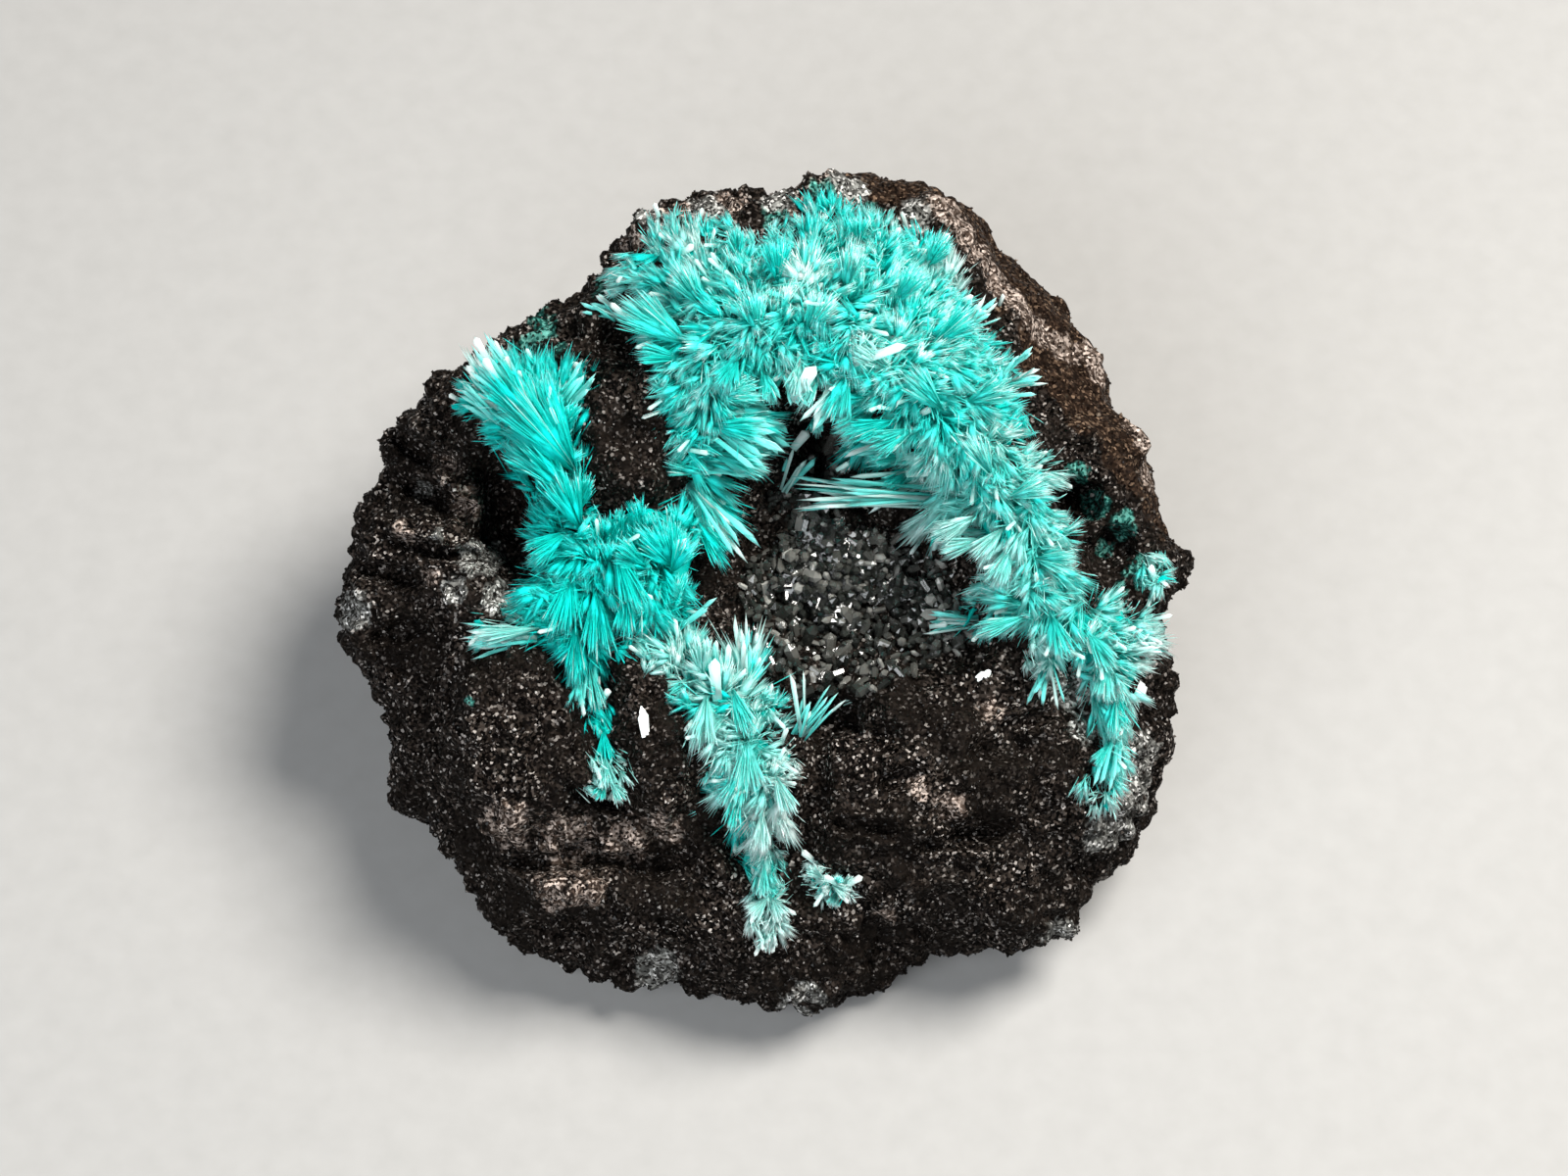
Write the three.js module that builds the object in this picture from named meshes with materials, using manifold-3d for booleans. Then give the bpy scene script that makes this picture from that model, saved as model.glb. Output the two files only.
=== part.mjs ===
// Aurichalcite on gossan: a thumb-sized chip of black-brown iron oxide rock whose broken face carries
// feathery turquoise crusts of aurichalcite, around a small cavity lined with grey drusy crystals.
//
// Millimetres. Everything is shaped in a face frame: x to the right, y up the broken face, z out of it,
// with the origin in the middle of the face. The face frame then leans back, so that the face looks up
// and towards -Y, and the rock is cut flat where it rests, at Z = 0.

import * as THREE from 'three';
import { mergeVertices } from 'three/addons/utils/BufferGeometryUtils.js';
import { ImprovedNoise } from 'three/addons/math/ImprovedNoise.js';
import Module from 'manifold-3d';

const wasm = await Module();
wasm.setup();

// How the specimen stands.
const FACE_LEAN = THREE.MathUtils.degToRad(30);
const FACE_HEIGHT = 17;
const FACE_SHIFT = -4;

// Outline of the rock as the face is seen squarely, clockwise from the top.
const OUTLINE = [
  [4, 21.7], [9.7, 20.7], [12.9, 17.8], [15.6, 15.6], [16.2, 13.6], [19.4, 9.8], [20.9, 6.2],
  [21.1, 3.4], [22.1, 1], [21.5, -1.5], [21.7, -3.5], [20.9, -6.5], [20.5, -11], [18, -14.8],
  [15.6, -18.1], [12, -17.4], [8.5, -18.2], [5, -20.7], [2.5, -21.8], [-2, -20.3], [-6.5, -19.5],
  [-12.5, -17.5], [-16.7, -13], [-19.5, -8], [-19.3, -5.2], [-21.9, -2.4], [-22, 0.4], [-21.1, 1.7],
  [-21.7, 3.4], [-20, 6.2], [-18.4, 9.3], [-14.5, 12.8], [-8.5, 17], [-5.8, 20.1], [-0.5, 20.4],
];
const RIM_STEPS = 720;

// The rounded shoulder between face and side, by direction: degrees, drop, and the share of the way out
// where it starts.
const SHOULDER = [
  [-180, 7.5, 0.74], [-135, 7.5, 0.74], [-90, 7.2, 0.78], [-45, 5.5, 0.86], [0, 5, 0.88], [45, 6.5, 0.74],
  [90, 4.5, 0.88], [135, 5, 0.84], [180, 7.5, 0.74],
];
const FACE_DOME = 1.6;
const FACE_DOME_REACH = 21;
const BACK_DEPTH = 20.5;
const BACK_ROUNDNESS = 2.1;
const BACK_LEVEL = -5;
const BACK_START = -7; // below this the whole skin is roughened as side and back

// Relief of the broken face: pillars, blocks, ledges, the cavity and the pits between them.
const RELIEF = [
  { what: 'cavity', x: 4.2, y: 2.6, wide: 6.2, high: 5.2, turn: 0, rise: -4.8, soft: 0.4 },
  { what: 'cavity throat', x: 4, y: 7.6, wide: 2.8, high: 2, turn: -20, rise: -2.8, soft: 0.45 },
  { what: 'cavity shelf', x: 8, y: -1.6, wide: 4.4, high: 3, turn: 10, rise: -1.2, soft: 0.5 },
  { what: 'hole under the spray', x: 3.8, y: -6, wide: 2.3, high: 1.5, turn: 15, rise: -2.2, soft: 0.45 },
  { what: 'upper hole by the rim', x: 16.5, y: 5, wide: 1.3, high: 1.3, turn: 0, rise: -2.2, soft: 0.4 },
  { what: 'lower hole by the rim', x: 18.4, y: 2.6, wide: 1.5, high: 1.1, turn: 20, rise: -1.8, soft: 0.4 },
  { what: 'cleft by the left fan', x: -13, y: 3.9, wide: 1.7, high: 3.6, turn: 15, rise: -3.4, soft: 0.4 },
  { what: 'hollow in the upper left', x: -17, y: 7, wide: 2.6, high: 3.4, turn: 25, rise: -2.4, soft: 0.5 },
  { what: 'upper left ledge', x: -15.4, y: 6.2, wide: 2.6, high: 0.8, turn: -20, rise: 1.3, soft: 0.4 },
  { what: 'ledge under it', x: -15.8, y: 3.7, wide: 2.2, high: 1, turn: -12, rise: 1.5, soft: 0.4 },
  { what: 'left lump', x: -14.6, y: 1, wide: 3, high: 2.2, turn: -15, rise: 1.6, soft: 0.5 },
  { what: 'groove by the big block', x: -17, y: -4.5, wide: 1.5, high: 3.5, turn: 0, rise: -2, soft: 0.5 },
  { what: 'pillar', x: -6.3, y: 8.2, wide: 2.8, high: 4.3, turn: -5, rise: 1.9, soft: 0.28 },
  { what: 'big block', x: -11.8, y: -7.2, wide: 4.2, high: 5, turn: 12, rise: 2.6, soft: 0.3 },
  { what: 'narrow block', x: -5.2, y: -6.6, wide: 2.4, high: 4.6, turn: 10, rise: 2.3, soft: 0.3 },
  { what: 'lower right block', x: 9.2, y: -9.4, wide: 9, high: 5.4, turn: 8, rise: 1.7, soft: 0.35 },
  { what: 'lower left ledge', x: -9.4, y: -14.6, wide: 3.8, high: 0.9, turn: -8, rise: 1.1, soft: 0.5 },
  { what: 'slot above it', x: -9.5, y: -12.9, wide: 5, high: 0.8, turn: -6, rise: -1.1, soft: 0.5 },
  { what: 'slot at lower right', x: 8.8, y: -13.4, wide: 3.6, high: 0.8, turn: 4, rise: -1.2, soft: 0.5 },
  { what: 'seam of the lower vein', x: -0.3, y: -8.4, wide: 1.7, high: 7, turn: 18, rise: -1, soft: 0.5 },
  { what: 'seam between blocks', x: -8, y: -5.6, wide: 0.9, high: 3.6, turn: 14, rise: -1.2, soft: 0.5 },
  { what: 'upper bed', x: 3.5, y: 15, wide: 9.5, high: 4.4, turn: -8, rise: 0.8, soft: 0.5 },
  { what: 'bed of the right arm', x: 13, y: 4, wide: 2.6, high: 6, turn: 25, rise: 0.9, soft: 0.5 },
];
const LUMPS = [
  { size: 5.2, rise: 1.4 },
  { size: 2.3, rise: 0.9 },
];
const SIDE_LUMPS = [
  { size: 7.5, rise: 1.3 },
  { size: 3.1, rise: 1.3 },
];
const SIDE_LUMPS_START = 0.8;

const ROCK_DETAIL = 10;
const FACE_SHARE = 0.64; // share of the mesh's polar angle that is spent on the face
const GAP = 0.3;

// Tufts of aurichalcite: x, y, cushion radius, the way the crystals point in degrees, their lift out of
// the face in degrees, and their length.
const UPPER_CRUST = [
  [-4, 18, 1.2, 115, 40, 2], [-1.8, 17.5, 1.4, 95, 50, 1.7], [0.8, 17.4, 1.4, 90, 55, 1.7],
  [3.5, 18.7, 1.3, 95, 40, 2], [5.8, 18, 1.4, 80, 45, 2.2], [8, 17.1, 1.2, 60, 40, 2],
  [9.5, 16, 1, 45, 35, 2], [-5.7, 16, 1.2, 165, 30, 2.2], [-3.5, 15.5, 1.6, 150, 50, 2.6],
  [-1, 15.2, 1.7, 110, 60, 2.6], [1.5, 15.2, 1.7, 80, 65, 2.6], [4, 15.7, 1.7, 80, 60, 2.6],
  [6.8, 15.2, 1.7, 60, 55, 2.6], [9.2, 14, 1.4, 35, 45, 2.4], [11, 12.9, 1, 30, 30, 2],
  [-4, 13.2, 1.4, 190, 40, 2.4], [-1.8, 13, 1.7, 230, 60, 2.6], [1, 12.8, 1.7, 260, 60, 2.6],
  [3.8, 13, 1.8, 230, 65, 2.8], [6.5, 12.5, 1.8, 20, 65, 2.8], [9.2, 11.5, 1.6, 10, 55, 2.6],
  [11.8, 10.8, 1.2, 20, 35, 2.2], [-3.5, 10.8, 1.3, 200, 45, 2.4], [-1.5, 10.3, 1.5, 300, 50, 2.6],
  [5.5, 10.2, 1.3, 200, 45, 2.6], [7.8, 9.7, 1.6, 230, 55, 2.6], [10.3, 9, 1.7, 330, 55, 2.6],
  [12.8, 8.5, 1.2, 20, 35, 2.2], [-3, 8.5, 1.1, 205, 40, 2], [-1.2, 8.2, 1.3, 345, 28, 3.4],
  [6.8, 7.8, 1.2, 220, 40, 2.6], [9, 7.2, 1.4, 235, 50, 2.6], [-2.6, 6.6, 0.9, 350, 20, 3.4],
];
const RIGHT_ARM = [
  [11.5, 6, 1.6, 280, 60, 2.6], [13.8, 6, 1.4, 10, 45, 2.2], [10.3, 4.4, 1.1, 195, 22, 3.4],
  [12.8, 3.8, 1.5, 260, 55, 2.4], [14.8, 3.2, 1.1, 10, 35, 2], [13, 1.5, 1.4, 240, 45, 2.4],
  [15, 0.8, 1.3, 320, 40, 2.2], [13.2, -0.5, 1.2, 200, 30, 2.4], [11.5, -0.9, 0.8, 180, 15, 2.4],
  [15.5, -1.2, 1.3, 270, 40, 2.2], [14.5, -2.8, 0.8, 260, 30, 1.8], [17.8, -1.5, 1.2, 20, 35, 2.2],
  [17.8, -3.3, 1.3, 300, 40, 2.2], [19.4, -2.3, 1.3, 20, 25, 2], [18.2, -5.3, 1, 270, 30, 2],
  [18.3, -6.9, 0.9, 268, 20, 2], [18, -8.5, 0.8, 262, 20, 1.8], [17.5, -9.9, 1, 255, 20, 1.6],
];
const LEFT_FAN = [
  [-12.5, 10.8, 1.2, 125, 25, 3], [-13.7, 9.8, 0.9, 145, 20, 2.4], [-10.5, 10.4, 1.2, 100, 35, 2.4],
  [-9.2, 10.4, 0.8, 50, 30, 2.2], [-12, 8.7, 1.1, 135, 30, 2.8], [-10.2, 8.5, 1.3, 105, 45, 2.6],
  [-11.1, 6.8, 1.1, 140, 35, 2.6], [-9.8, 6.5, 1.1, 90, 45, 2.4], [-10.1, 4.8, 1.2, 130, 40, 2.2],
  [-9, 4.5, 0.8, 30, 35, 1.4],
];
const CENTRE_FORK = [
  [-9.8, 3, 1.3, 180, 40, 2], [-10, 1.2, 1.3, 235, 35, 2.2], [-7.8, 2.7, 1.3, 60, 50, 2],
  [-5.8, 3, 1.6, 80, 45, 1.5], [-4, 3.2, 1.2, 50, 40, 2], [-2.8, 4.6, 0.9, 300, 18, 4.2],
  [-7.5, 0.9, 1.5, 250, 45, 2.6], [-5.5, 0.4, 1.4, 280, 40, 2.6], [-4, -0.3, 1, 50, 25, 1.6],
  [-10, -0.5, 1.3, 190, 30, 2.4], [-12, -1.2, 0.8, 185, 15, 2.4], [-8.5, -2, 1.3, 255, 35, 2.4],
  [-6.5, -1.8, 1.1, 270, 35, 1.3], [-8.4, -4, 0.9, 265, 25, 1.8], [-7.8, -6.2, 0.8, 275, 20, 1.6],
  [-13.4, -1.6, 0.7, 182, 15, 1.4],
];
const LOWER_VEIN = [
  [-4.8, -2.8, 0.9, 140, 35, 1.8], [-3.4, -3.2, 1.1, 100, 40, 2], [-2.7, -4.8, 1.2, 170, 40, 2.2],
  [-1.2, -4.3, 0.9, 86, 15, 3.6], [-1.2, -6.7, 1.4, 200, 40, 2.2], [0.5, -6.2, 1.1, 40, 40, 1.3],
  [-0.7, -8.9, 1.3, 230, 40, 2.2], [1, -8.7, 1.1, 330, 40, 1.5], [0.3, -11.2, 1.2, 265, 40, 2.2],
  [0.5, -13.2, 0.9, 270, 30, 1.8], [0.7, -15, 0.8, 265, 25, 1.4], [0.7, -16.6, 0.9, 265, 25, 1.4],
];
const SMALL_SPRAY = [[2.2, -6.8, 0.8, 66, 22, 3]];
const LOW_PATCH = [[3.3, -14.2, 0.7, 150, 25, 1.2], [4.3, -15, 0.8, 300, 25, 1.2]];
const SEAM_PATCH = [[-7.4, -8.9, 1.1, 280, 30, 1.3]];
const RIM_TUFT = [[20.4, 1.3, 0.8, 300, 30, 1.5]];

const CUSHION_SPREAD = 0.6; // how much wider than its tuft a mound is
const CUSHION_RISE = 0.75; // cushion height over its radius
const CUSHION_CROWN = 1.15; // how much higher its middle is than a mound that ends at its edge
const CUSHION_SUNK = -0.8; // how far a crust's sheet lies under the rock away from its tufts
const CUSHION_LUMP = { size: 1.6, rise: 0.5 };
const UPRIGHT_LIFT = 34; // a tuft with more lift than this shows one lath, and a flatter one shows a pair
const LATHS_IN_SPRAY = 5;
const SPRAY_SLIMNESS = 0.6; // width of a lath in the spray over that of the others
const LATH_SPREAD = THREE.MathUtils.degToRad(38);
const LATH_WIDTH = 1.1;
const LATH_THICKNESS = 0.5;
const LATH_ROOT = 0.6; // how much longer a lath is inside its mound, over the mound's radius
const FOOT_RISE = 0.25; // how high a lath's foot lies over the rock, over the mound's radius
const FOOT_SETBACK = 0.2; // how far it lies back along the lath, over the mound's radius
const TILT_SPREAD = 0.15;
const CRYSTAL_FOOT = 0.42; // radius of a crystal's foot over its width
const CRYSTAL_SHOULDER = 0.7; // share of its length where its point starts

// Grey druse on the cavity's floor: patches as x, y, radius, and the blocky crystals that stand on them.
const DRUSE_PATCHES = [
  [1.2, 0.6, 2], [3.4, 2.2, 2.2], [5.8, 1.2, 2.3], [8.2, 0.2, 2.1], [10, -1.2, 1.6], [2.6, -1.2, 1.8],
  [5.4, -1.4, 2], [7.6, -2.6, 1.5], [3.2, 4.6, 1.5],
];
const DRUSE_RISE = 0.35;
const DRUSE_CRYSTALS_PER_PATCH = 2;
const DRUSE_CRYSTAL = { width: 1.1, length: 1.3, thickness: 0.8 }; // the last two over the width
const DRUSE_REACH = 0.6; // how far from a patch's middle they stand, over its radius
const DRUSE_SUNK = 0.1;
const DRUSE_SEED = 77;

// Single pale crystals: x, y, length, width, direction in degrees, and how they lie on the rock.
const PALE_CRYSTALS = {
  pale_blade_on_block: [-5.5, -6.1, 1.6, 0.65, 98],
  pale_blade_on_right: [11.6, -4, 1.4, 0.6, 38],
  pale_block_on_rim: [19.5, -4.7, 1.3, 1.2, 80],
};
const PALE_LIFT = 0.12;
const PALE_HEIGHT = 0.45;
const PALE_ROLL = 0.2;
const PALE_THICKNESS = 0.7; // over its width

const noise = new ImprovedNoise();
let dice = mulberry(1);

/** A repeatable source of numbers from 0 to 1. */
function mulberry(seed) {
  let state = seed;
  return () => {
    state = (state + 0x6d2b79f5) | 0;
    let mixed = Math.imul(state ^ (state >>> 15), 1 | state);
    mixed = (mixed + Math.imul(mixed ^ (mixed >>> 7), 61 | mixed)) ^ mixed;
    return ((mixed ^ (mixed >>> 14)) >>> 0) / 4294967296;
  };
}

/** The next random number between two bounds. */
function between(low, high) {
  return low + (high - low) * dice();
}

/** The distance from the middle of the face to its outline, for each direction. */
function measureRim() {
  const knots = OUTLINE.map(([x, y]) => new THREE.Vector3(x, y, 0));
  const outline = new THREE.CatmullRomCurve3(knots, true, 'centripetal').getPoints(4 * RIM_STEPS);
  const rim = new Float64Array(RIM_STEPS);
  for (const point of outline) {
    rim[rimIndex(Math.atan2(point.y, point.x))] = Math.hypot(point.x, point.y);
  }
  for (let i = 0; i < RIM_STEPS; i++) {
    if (rim[i] === 0) rim[i] = rim[(i + RIM_STEPS - 1) % RIM_STEPS];
  }
  return rim;
}

function rimIndex(turn) {
  const share = turn / (2 * Math.PI) + 0.5;
  return Math.floor(share * RIM_STEPS) % RIM_STEPS;
}

const rimTable = measureRim();

function rimReach(turn) {
  return rimTable[rimIndex(turn)];
}

/** The shoulder's drop and start in one direction, taken smoothly from SHOULDER. */
function shoulderAt(turn) {
  const degrees = THREE.MathUtils.radToDeg(turn);
  const next = Math.max(1, SHOULDER.findIndex(([at]) => at >= degrees));
  const [from, fromDrop, fromStart] = SHOULDER[next - 1];
  const [to, toDrop, toStart] = SHOULDER[next];
  const share = THREE.MathUtils.smoothstep(degrees, from, to);
  return {
    drop: THREE.MathUtils.lerp(fromDrop, toDrop, share),
    start: THREE.MathUtils.lerp(fromStart, toStart, share),
  };
}

/** 1 on top of a relief feature and 0 outside it. */
function hill({ x, y, wide, high, turn, soft }, atX, atY) {
  const angle = THREE.MathUtils.degToRad(turn);
  const dx = atX - x;
  const dy = atY - y;
  const across = (dx * Math.cos(angle) + dy * Math.sin(angle)) / wide;
  const along = (dy * Math.cos(angle) - dx * Math.sin(angle)) / high;
  return 1 - THREE.MathUtils.smoothstep(Math.hypot(across, along), 1 - soft, 1 + soft);
}

/** Height of the rock's face at a point, in the face frame. */
function faceZ(x, y) {
  const turn = Math.atan2(y, x);
  const reach = Math.min(1, Math.hypot(x, y) / rimReach(turn));
  const shoulder = shoulderAt(turn);
  const over = Math.max(0, (reach - shoulder.start) / (1 - shoulder.start));
  let z = FACE_DOME * (1 - (x * x + y * y) / FACE_DOME_REACH ** 2);
  for (const feature of RELIEF) z += feature.rise * hill(feature, x, y);
  for (const { size, rise } of LUMPS) z += rise * noise.noise(x / size, y / size, size);
  return z - shoulder.drop * (1 - Math.sqrt(1 - over * over));
}

/** A point of the rock's surface for a direction from its middle. */
function rockPoint(direction) {
  const turn = Math.atan2(direction.y, direction.x);
  const polar = Math.acos(THREE.MathUtils.clamp(direction.z, -1, 1));
  const facePolar = FACE_SHARE * Math.PI;
  const onFace = polar <= facePolar;
  const share = onFace ? polar / facePolar : (Math.PI - polar) / (Math.PI - facePolar);
  const reach = Math.sin((share * Math.PI) / 2);
  const rim = rimReach(turn);
  const x = rim * reach * Math.cos(turn);
  const y = rim * reach * Math.sin(turn);
  if (onFace) return new THREE.Vector3(x, y, faceZ(x, y));

  const edge = faceZ(rim * Math.cos(turn), rim * Math.sin(turn));
  const level = THREE.MathUtils.lerp(BACK_LEVEL, edge, reach ** 2);
  const depth = BACK_DEPTH * (1 - reach ** BACK_ROUNDNESS) ** (1 / BACK_ROUNDNESS);
  return new THREE.Vector3(x, y, level - depth);
}

/** Knocks lumps and hollows into the sides and back. */
function roughenSide(point) {
  const turn = Math.atan2(point.y, point.x);
  const reach = Math.hypot(point.x, point.y) / rimReach(turn);
  const behind = point.z < BACK_START ? 1 : THREE.MathUtils.smoothstep(reach, SIDE_LUMPS_START, 1);
  let push = 0;
  for (const { size, rise } of SIDE_LUMPS) {
    push += rise * noise.noise(point.x / size, point.y / size, point.z / size + size);
  }
  const outward = point.clone().setZ(0.5 * point.z).normalize();
  return point.addScaledVector(outward, push * behind);
}

/** Only positions, with shared vertices merged and flat slivers dropped. */
function welded(geometry) {
  const bare = new THREE.BufferGeometry();
  bare.setAttribute('position', geometry.getAttribute('position').clone());
  if (geometry.index) bare.setIndex(geometry.index.clone());
  const merged = mergeVertices(bare, 1e-4);
  const kept = [];
  const index = merged.index.array;
  for (let i = 0; i < index.length; i += 3) {
    const [a, b, c] = [index[i], index[i + 1], index[i + 2]];
    if (a !== b && b !== c && c !== a) kept.push(a, b, c);
  }
  merged.setIndex(kept);
  return merged;
}

function solid(geometry) {
  const merged = welded(geometry);
  return new wasm.Manifold(new wasm.Mesh({
    numProp: 3,
    vertProperties: Float32Array.from(merged.getAttribute('position').array),
    triVerts: Uint32Array.from(merged.index.array),
  }));
}

function geometryOf(body) {
  const mesh = body.getMesh();
  const geometry = new THREE.BufferGeometry();
  geometry.setAttribute('position', new THREE.BufferAttribute(Float32Array.from(mesh.vertProperties), 3));
  geometry.setIndex(Array.from(mesh.triVerts));
  geometry.computeVertexNormals();
  return geometry;
}

/** The largest connected piece, without crumbs that a cut leaves. */
function mainPiece(body) {
  const pieces = body.decompose();
  return pieces.reduce((best, piece) => (piece.volume() > best.volume() ? piece : best));
}

/** From the face frame to the specimen as it stands. */
const faceToStand = new THREE.Matrix4()
  .makeRotationX(FACE_LEAN)
  .setPosition(0, FACE_SHIFT, FACE_HEIGHT);

/** The rock's skin, with its face raised by lift(x, y). */
function rockGeometry(lift = () => 0) {
  const geometry = welded(new THREE.IcosahedronGeometry(1, ROCK_DETAIL));
  const position = geometry.getAttribute('position');
  const direction = new THREE.Vector3();
  for (let i = 0; i < position.count; i++) {
    direction.fromBufferAttribute(position, i).normalize();
    const point = rockPoint(direction);
    const raised = point.z > BACK_LEVEL ? lift(point.x, point.y) : 0;
    roughenSide(point);
    position.setXYZ(i, point.x, point.y, point.z + raised);
  }
  geometry.computeVertexNormals();
  return geometry;
}

/** The rock grown by a clearance, to cut what sits on it. */
function grown(geometry, by) {
  const copy = geometry.clone();
  const position = copy.getAttribute('position');
  const normal = copy.getAttribute('normal');
  for (let i = 0; i < position.count; i++) {
    position.setXYZ(
      i,
      position.getX(i) + by * normal.getX(i),
      position.getY(i) + by * normal.getY(i),
      position.getZ(i) + by * normal.getZ(i),
    );
  }
  return copy;
}

/** A direction in the face frame from its turn on the face and its lift out of it. */
function heading(turn, lift) {
  const flat = Math.cos(lift);
  return new THREE.Vector3(Math.cos(turn) * flat, Math.sin(turn) * flat, Math.sin(lift));
}

/** A flat-sided crystal along +Z: even width, then a wedge point. */
function crystal(length, width, thickness, sides = 4) {
  const profile = [[0, 0], [CRYSTAL_FOOT, 0], [0.5, CRYSTAL_SHOULDER * length], [0, length]];
  const geometry = new THREE.LatheGeometry(profile.map(([r, z]) => new THREE.Vector2(r, z)), sides);
  geometry.rotateX(Math.PI / 2);
  geometry.scale(width, thickness, 1);
  return geometry;
}

/** Stands a crystal on a point, pointing along a direction and turned about it. */
function place(geometry, foot, direction, roll) {
  const turn = new THREE.Quaternion().setFromUnitVectors(new THREE.Vector3(0, 0, 1), direction);
  turn.multiply(new THREE.Quaternion().setFromAxisAngle(new THREE.Vector3(0, 0, 1), roll));
  geometry.applyQuaternion(turn);
  geometry.translate(foot.x, foot.y, foot.z);
  return geometry;
}

/** The mounds that all tufts grow from, as one sheet that dips into the rock around them. */
function mounds(tufts, rise, grow) {
  const lift = (x, y) => {
    let best = CUSHION_SUNK;
    for (const [tuftX, tuftY, radius] of tufts) {
      const away = Math.hypot(x - tuftX, y - tuftY) / (radius + CUSHION_SPREAD);
      best = Math.max(best, rise * radius * (CUSHION_CROWN - away ** 2));
    }
    const lump = noise.noise(x / CUSHION_LUMP.size, y / CUSHION_LUMP.size, 0.5);
    return best + CUSHION_LUMP.rise * lump + grow;
  };
  return rockGeometry(lift);
}

/** The crystals of one tuft, fanned about its heading. */
function laths([x, y, radius, aim, lift, length], inSpray, grow) {
  const made = [];
  const count = inSpray ?? (lift > UPRIGHT_LIFT ? 1 : 2);
  const turn = THREE.MathUtils.degToRad(aim);
  const tilt = THREE.MathUtils.degToRad(lift);
  for (let i = 0; i < count; i++) {
    const spread = count > 1 ? (i / (count - 1) - 0.5) * 2 * LATH_SPREAD : 0;
    const long = length * between(0.85, 1.15) + LATH_ROOT * radius;
    const direction = heading(turn + spread, tilt + between(-TILT_SPREAD, TILT_SPREAD));
    const foot = new THREE.Vector3(x, y, faceZ(x, y) + FOOT_RISE * radius);
    foot.addScaledVector(direction, -FOOT_SETBACK * radius);
    const width = LATH_WIDTH * between(0.8, 1.2) * (inSpray ? SPRAY_SLIMNESS : 1);
    const shape = crystal(long + grow, width + 2 * grow, LATH_THICKNESS + 2 * grow);
    made.push(place(shape, foot, direction, between(0, Math.PI)));
  }
  return made;
}

/** All tufts of a crust in one closed solid, grown by a clearance if it is to cut its neighbour. */
function crust({ tufts, seed, inSpray }, grow = 0) {
  dice = mulberry(seed);
  const parts = [mounds(tufts, CUSHION_RISE, grow)];
  for (const tuft of tufts) parts.push(...laths(tuft, inSpray, grow));
  return joined(parts);
}

function joined(parts) {
  return parts.map(standing).reduce((whole, part) => whole.add(part));
}

function standing(geometry) {
  return solid(geometry.applyMatrix4(faceToStand));
}

/** Everything below the surface that the specimen rests on. */
function floorBlock() {
  const depth = 60;
  return solid(new THREE.BoxGeometry(4 * depth, 4 * depth, depth).translate(0, 0, -depth / 2));
}

function druse() {
  dice = mulberry(DRUSE_SEED);
  const parts = [mounds(DRUSE_PATCHES, DRUSE_RISE, 0)];
  for (const [x, y, radius] of DRUSE_PATCHES) {
    for (let i = 0; i < DRUSE_CRYSTALS_PER_PATCH; i++) {
      const turn = between(0, 2 * Math.PI);
      const footX = x + DRUSE_REACH * radius * Math.cos(turn);
      const footY = y + DRUSE_REACH * radius * Math.sin(turn);
      const size = DRUSE_CRYSTAL.width * between(0.7, 1.3);
      const foot = new THREE.Vector3(footX, footY, faceZ(footX, footY) - DRUSE_SUNK);
      const direction = heading(between(0, 2 * Math.PI), between(0.7, 1.5));
      const shape = crystal(size * DRUSE_CRYSTAL.length, size, size * DRUSE_CRYSTAL.thickness);
      parts.push(place(shape, foot, direction, 0));
    }
  }
  return joined(parts);
}

function paleCrystal([x, y, length, width, aim]) {
  const direction = heading(THREE.MathUtils.degToRad(aim), PALE_LIFT);
  const foot = new THREE.Vector3(x, y, faceZ(x, y) + PALE_HEIGHT).addScaledVector(direction, -length / 2);
  return standing(place(crystal(length, width, PALE_THICKNESS * width), foot, direction, PALE_ROLL));
}

// Finishes as the pieces look in daylight.
const finishes = {
  gossan: new THREE.MeshStandardMaterial({ color: 0x2a221c, roughness: 0.85, metalness: 0 }),
  aurichalcite: new THREE.MeshStandardMaterial({ color: 0x2cc4b4, roughness: 0.45, metalness: 0 }),
  druse: new THREE.MeshStandardMaterial({ color: 0x565850, roughness: 0.35, metalness: 0 }),
  pale_crystal: new THREE.MeshStandardMaterial({ color: 0xe8ece6, roughness: 0.3, metalness: 0 }),
};

function piece(name, body, finish) {
  const mesh = new THREE.Mesh(geometryOf(mainPiece(body)), finishes[finish]);
  mesh.name = name;
  return mesh;
}

const rockFace = rockGeometry();
const rock = standing(rockFace.clone()).subtract(floorBlock());

const crusts = {
  aurichalcite_upper_crust: { tufts: UPPER_CRUST, seed: 11 },
  aurichalcite_right_arm: { tufts: RIGHT_ARM, seed: 12 },
  aurichalcite_left_fan: { tufts: LEFT_FAN, seed: 13 },
  aurichalcite_centre_fork: { tufts: CENTRE_FORK, seed: 14 },
  aurichalcite_lower_vein: { tufts: LOWER_VEIN, seed: 15 },
  aurichalcite_small_spray: { tufts: SMALL_SPRAY, seed: 16, inSpray: LATHS_IN_SPRAY },
  aurichalcite_low_patch: { tufts: LOW_PATCH, seed: 17 },
  aurichalcite_seam_patch: { tufts: SEAM_PATCH, seed: 18 },
  aurichalcite_rim_tuft: { tufts: RIM_TUFT, seed: 19 },
};

const specimen = new THREE.Group();
specimen.add(piece('gossan_matrix', rock, 'gossan'));

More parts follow.
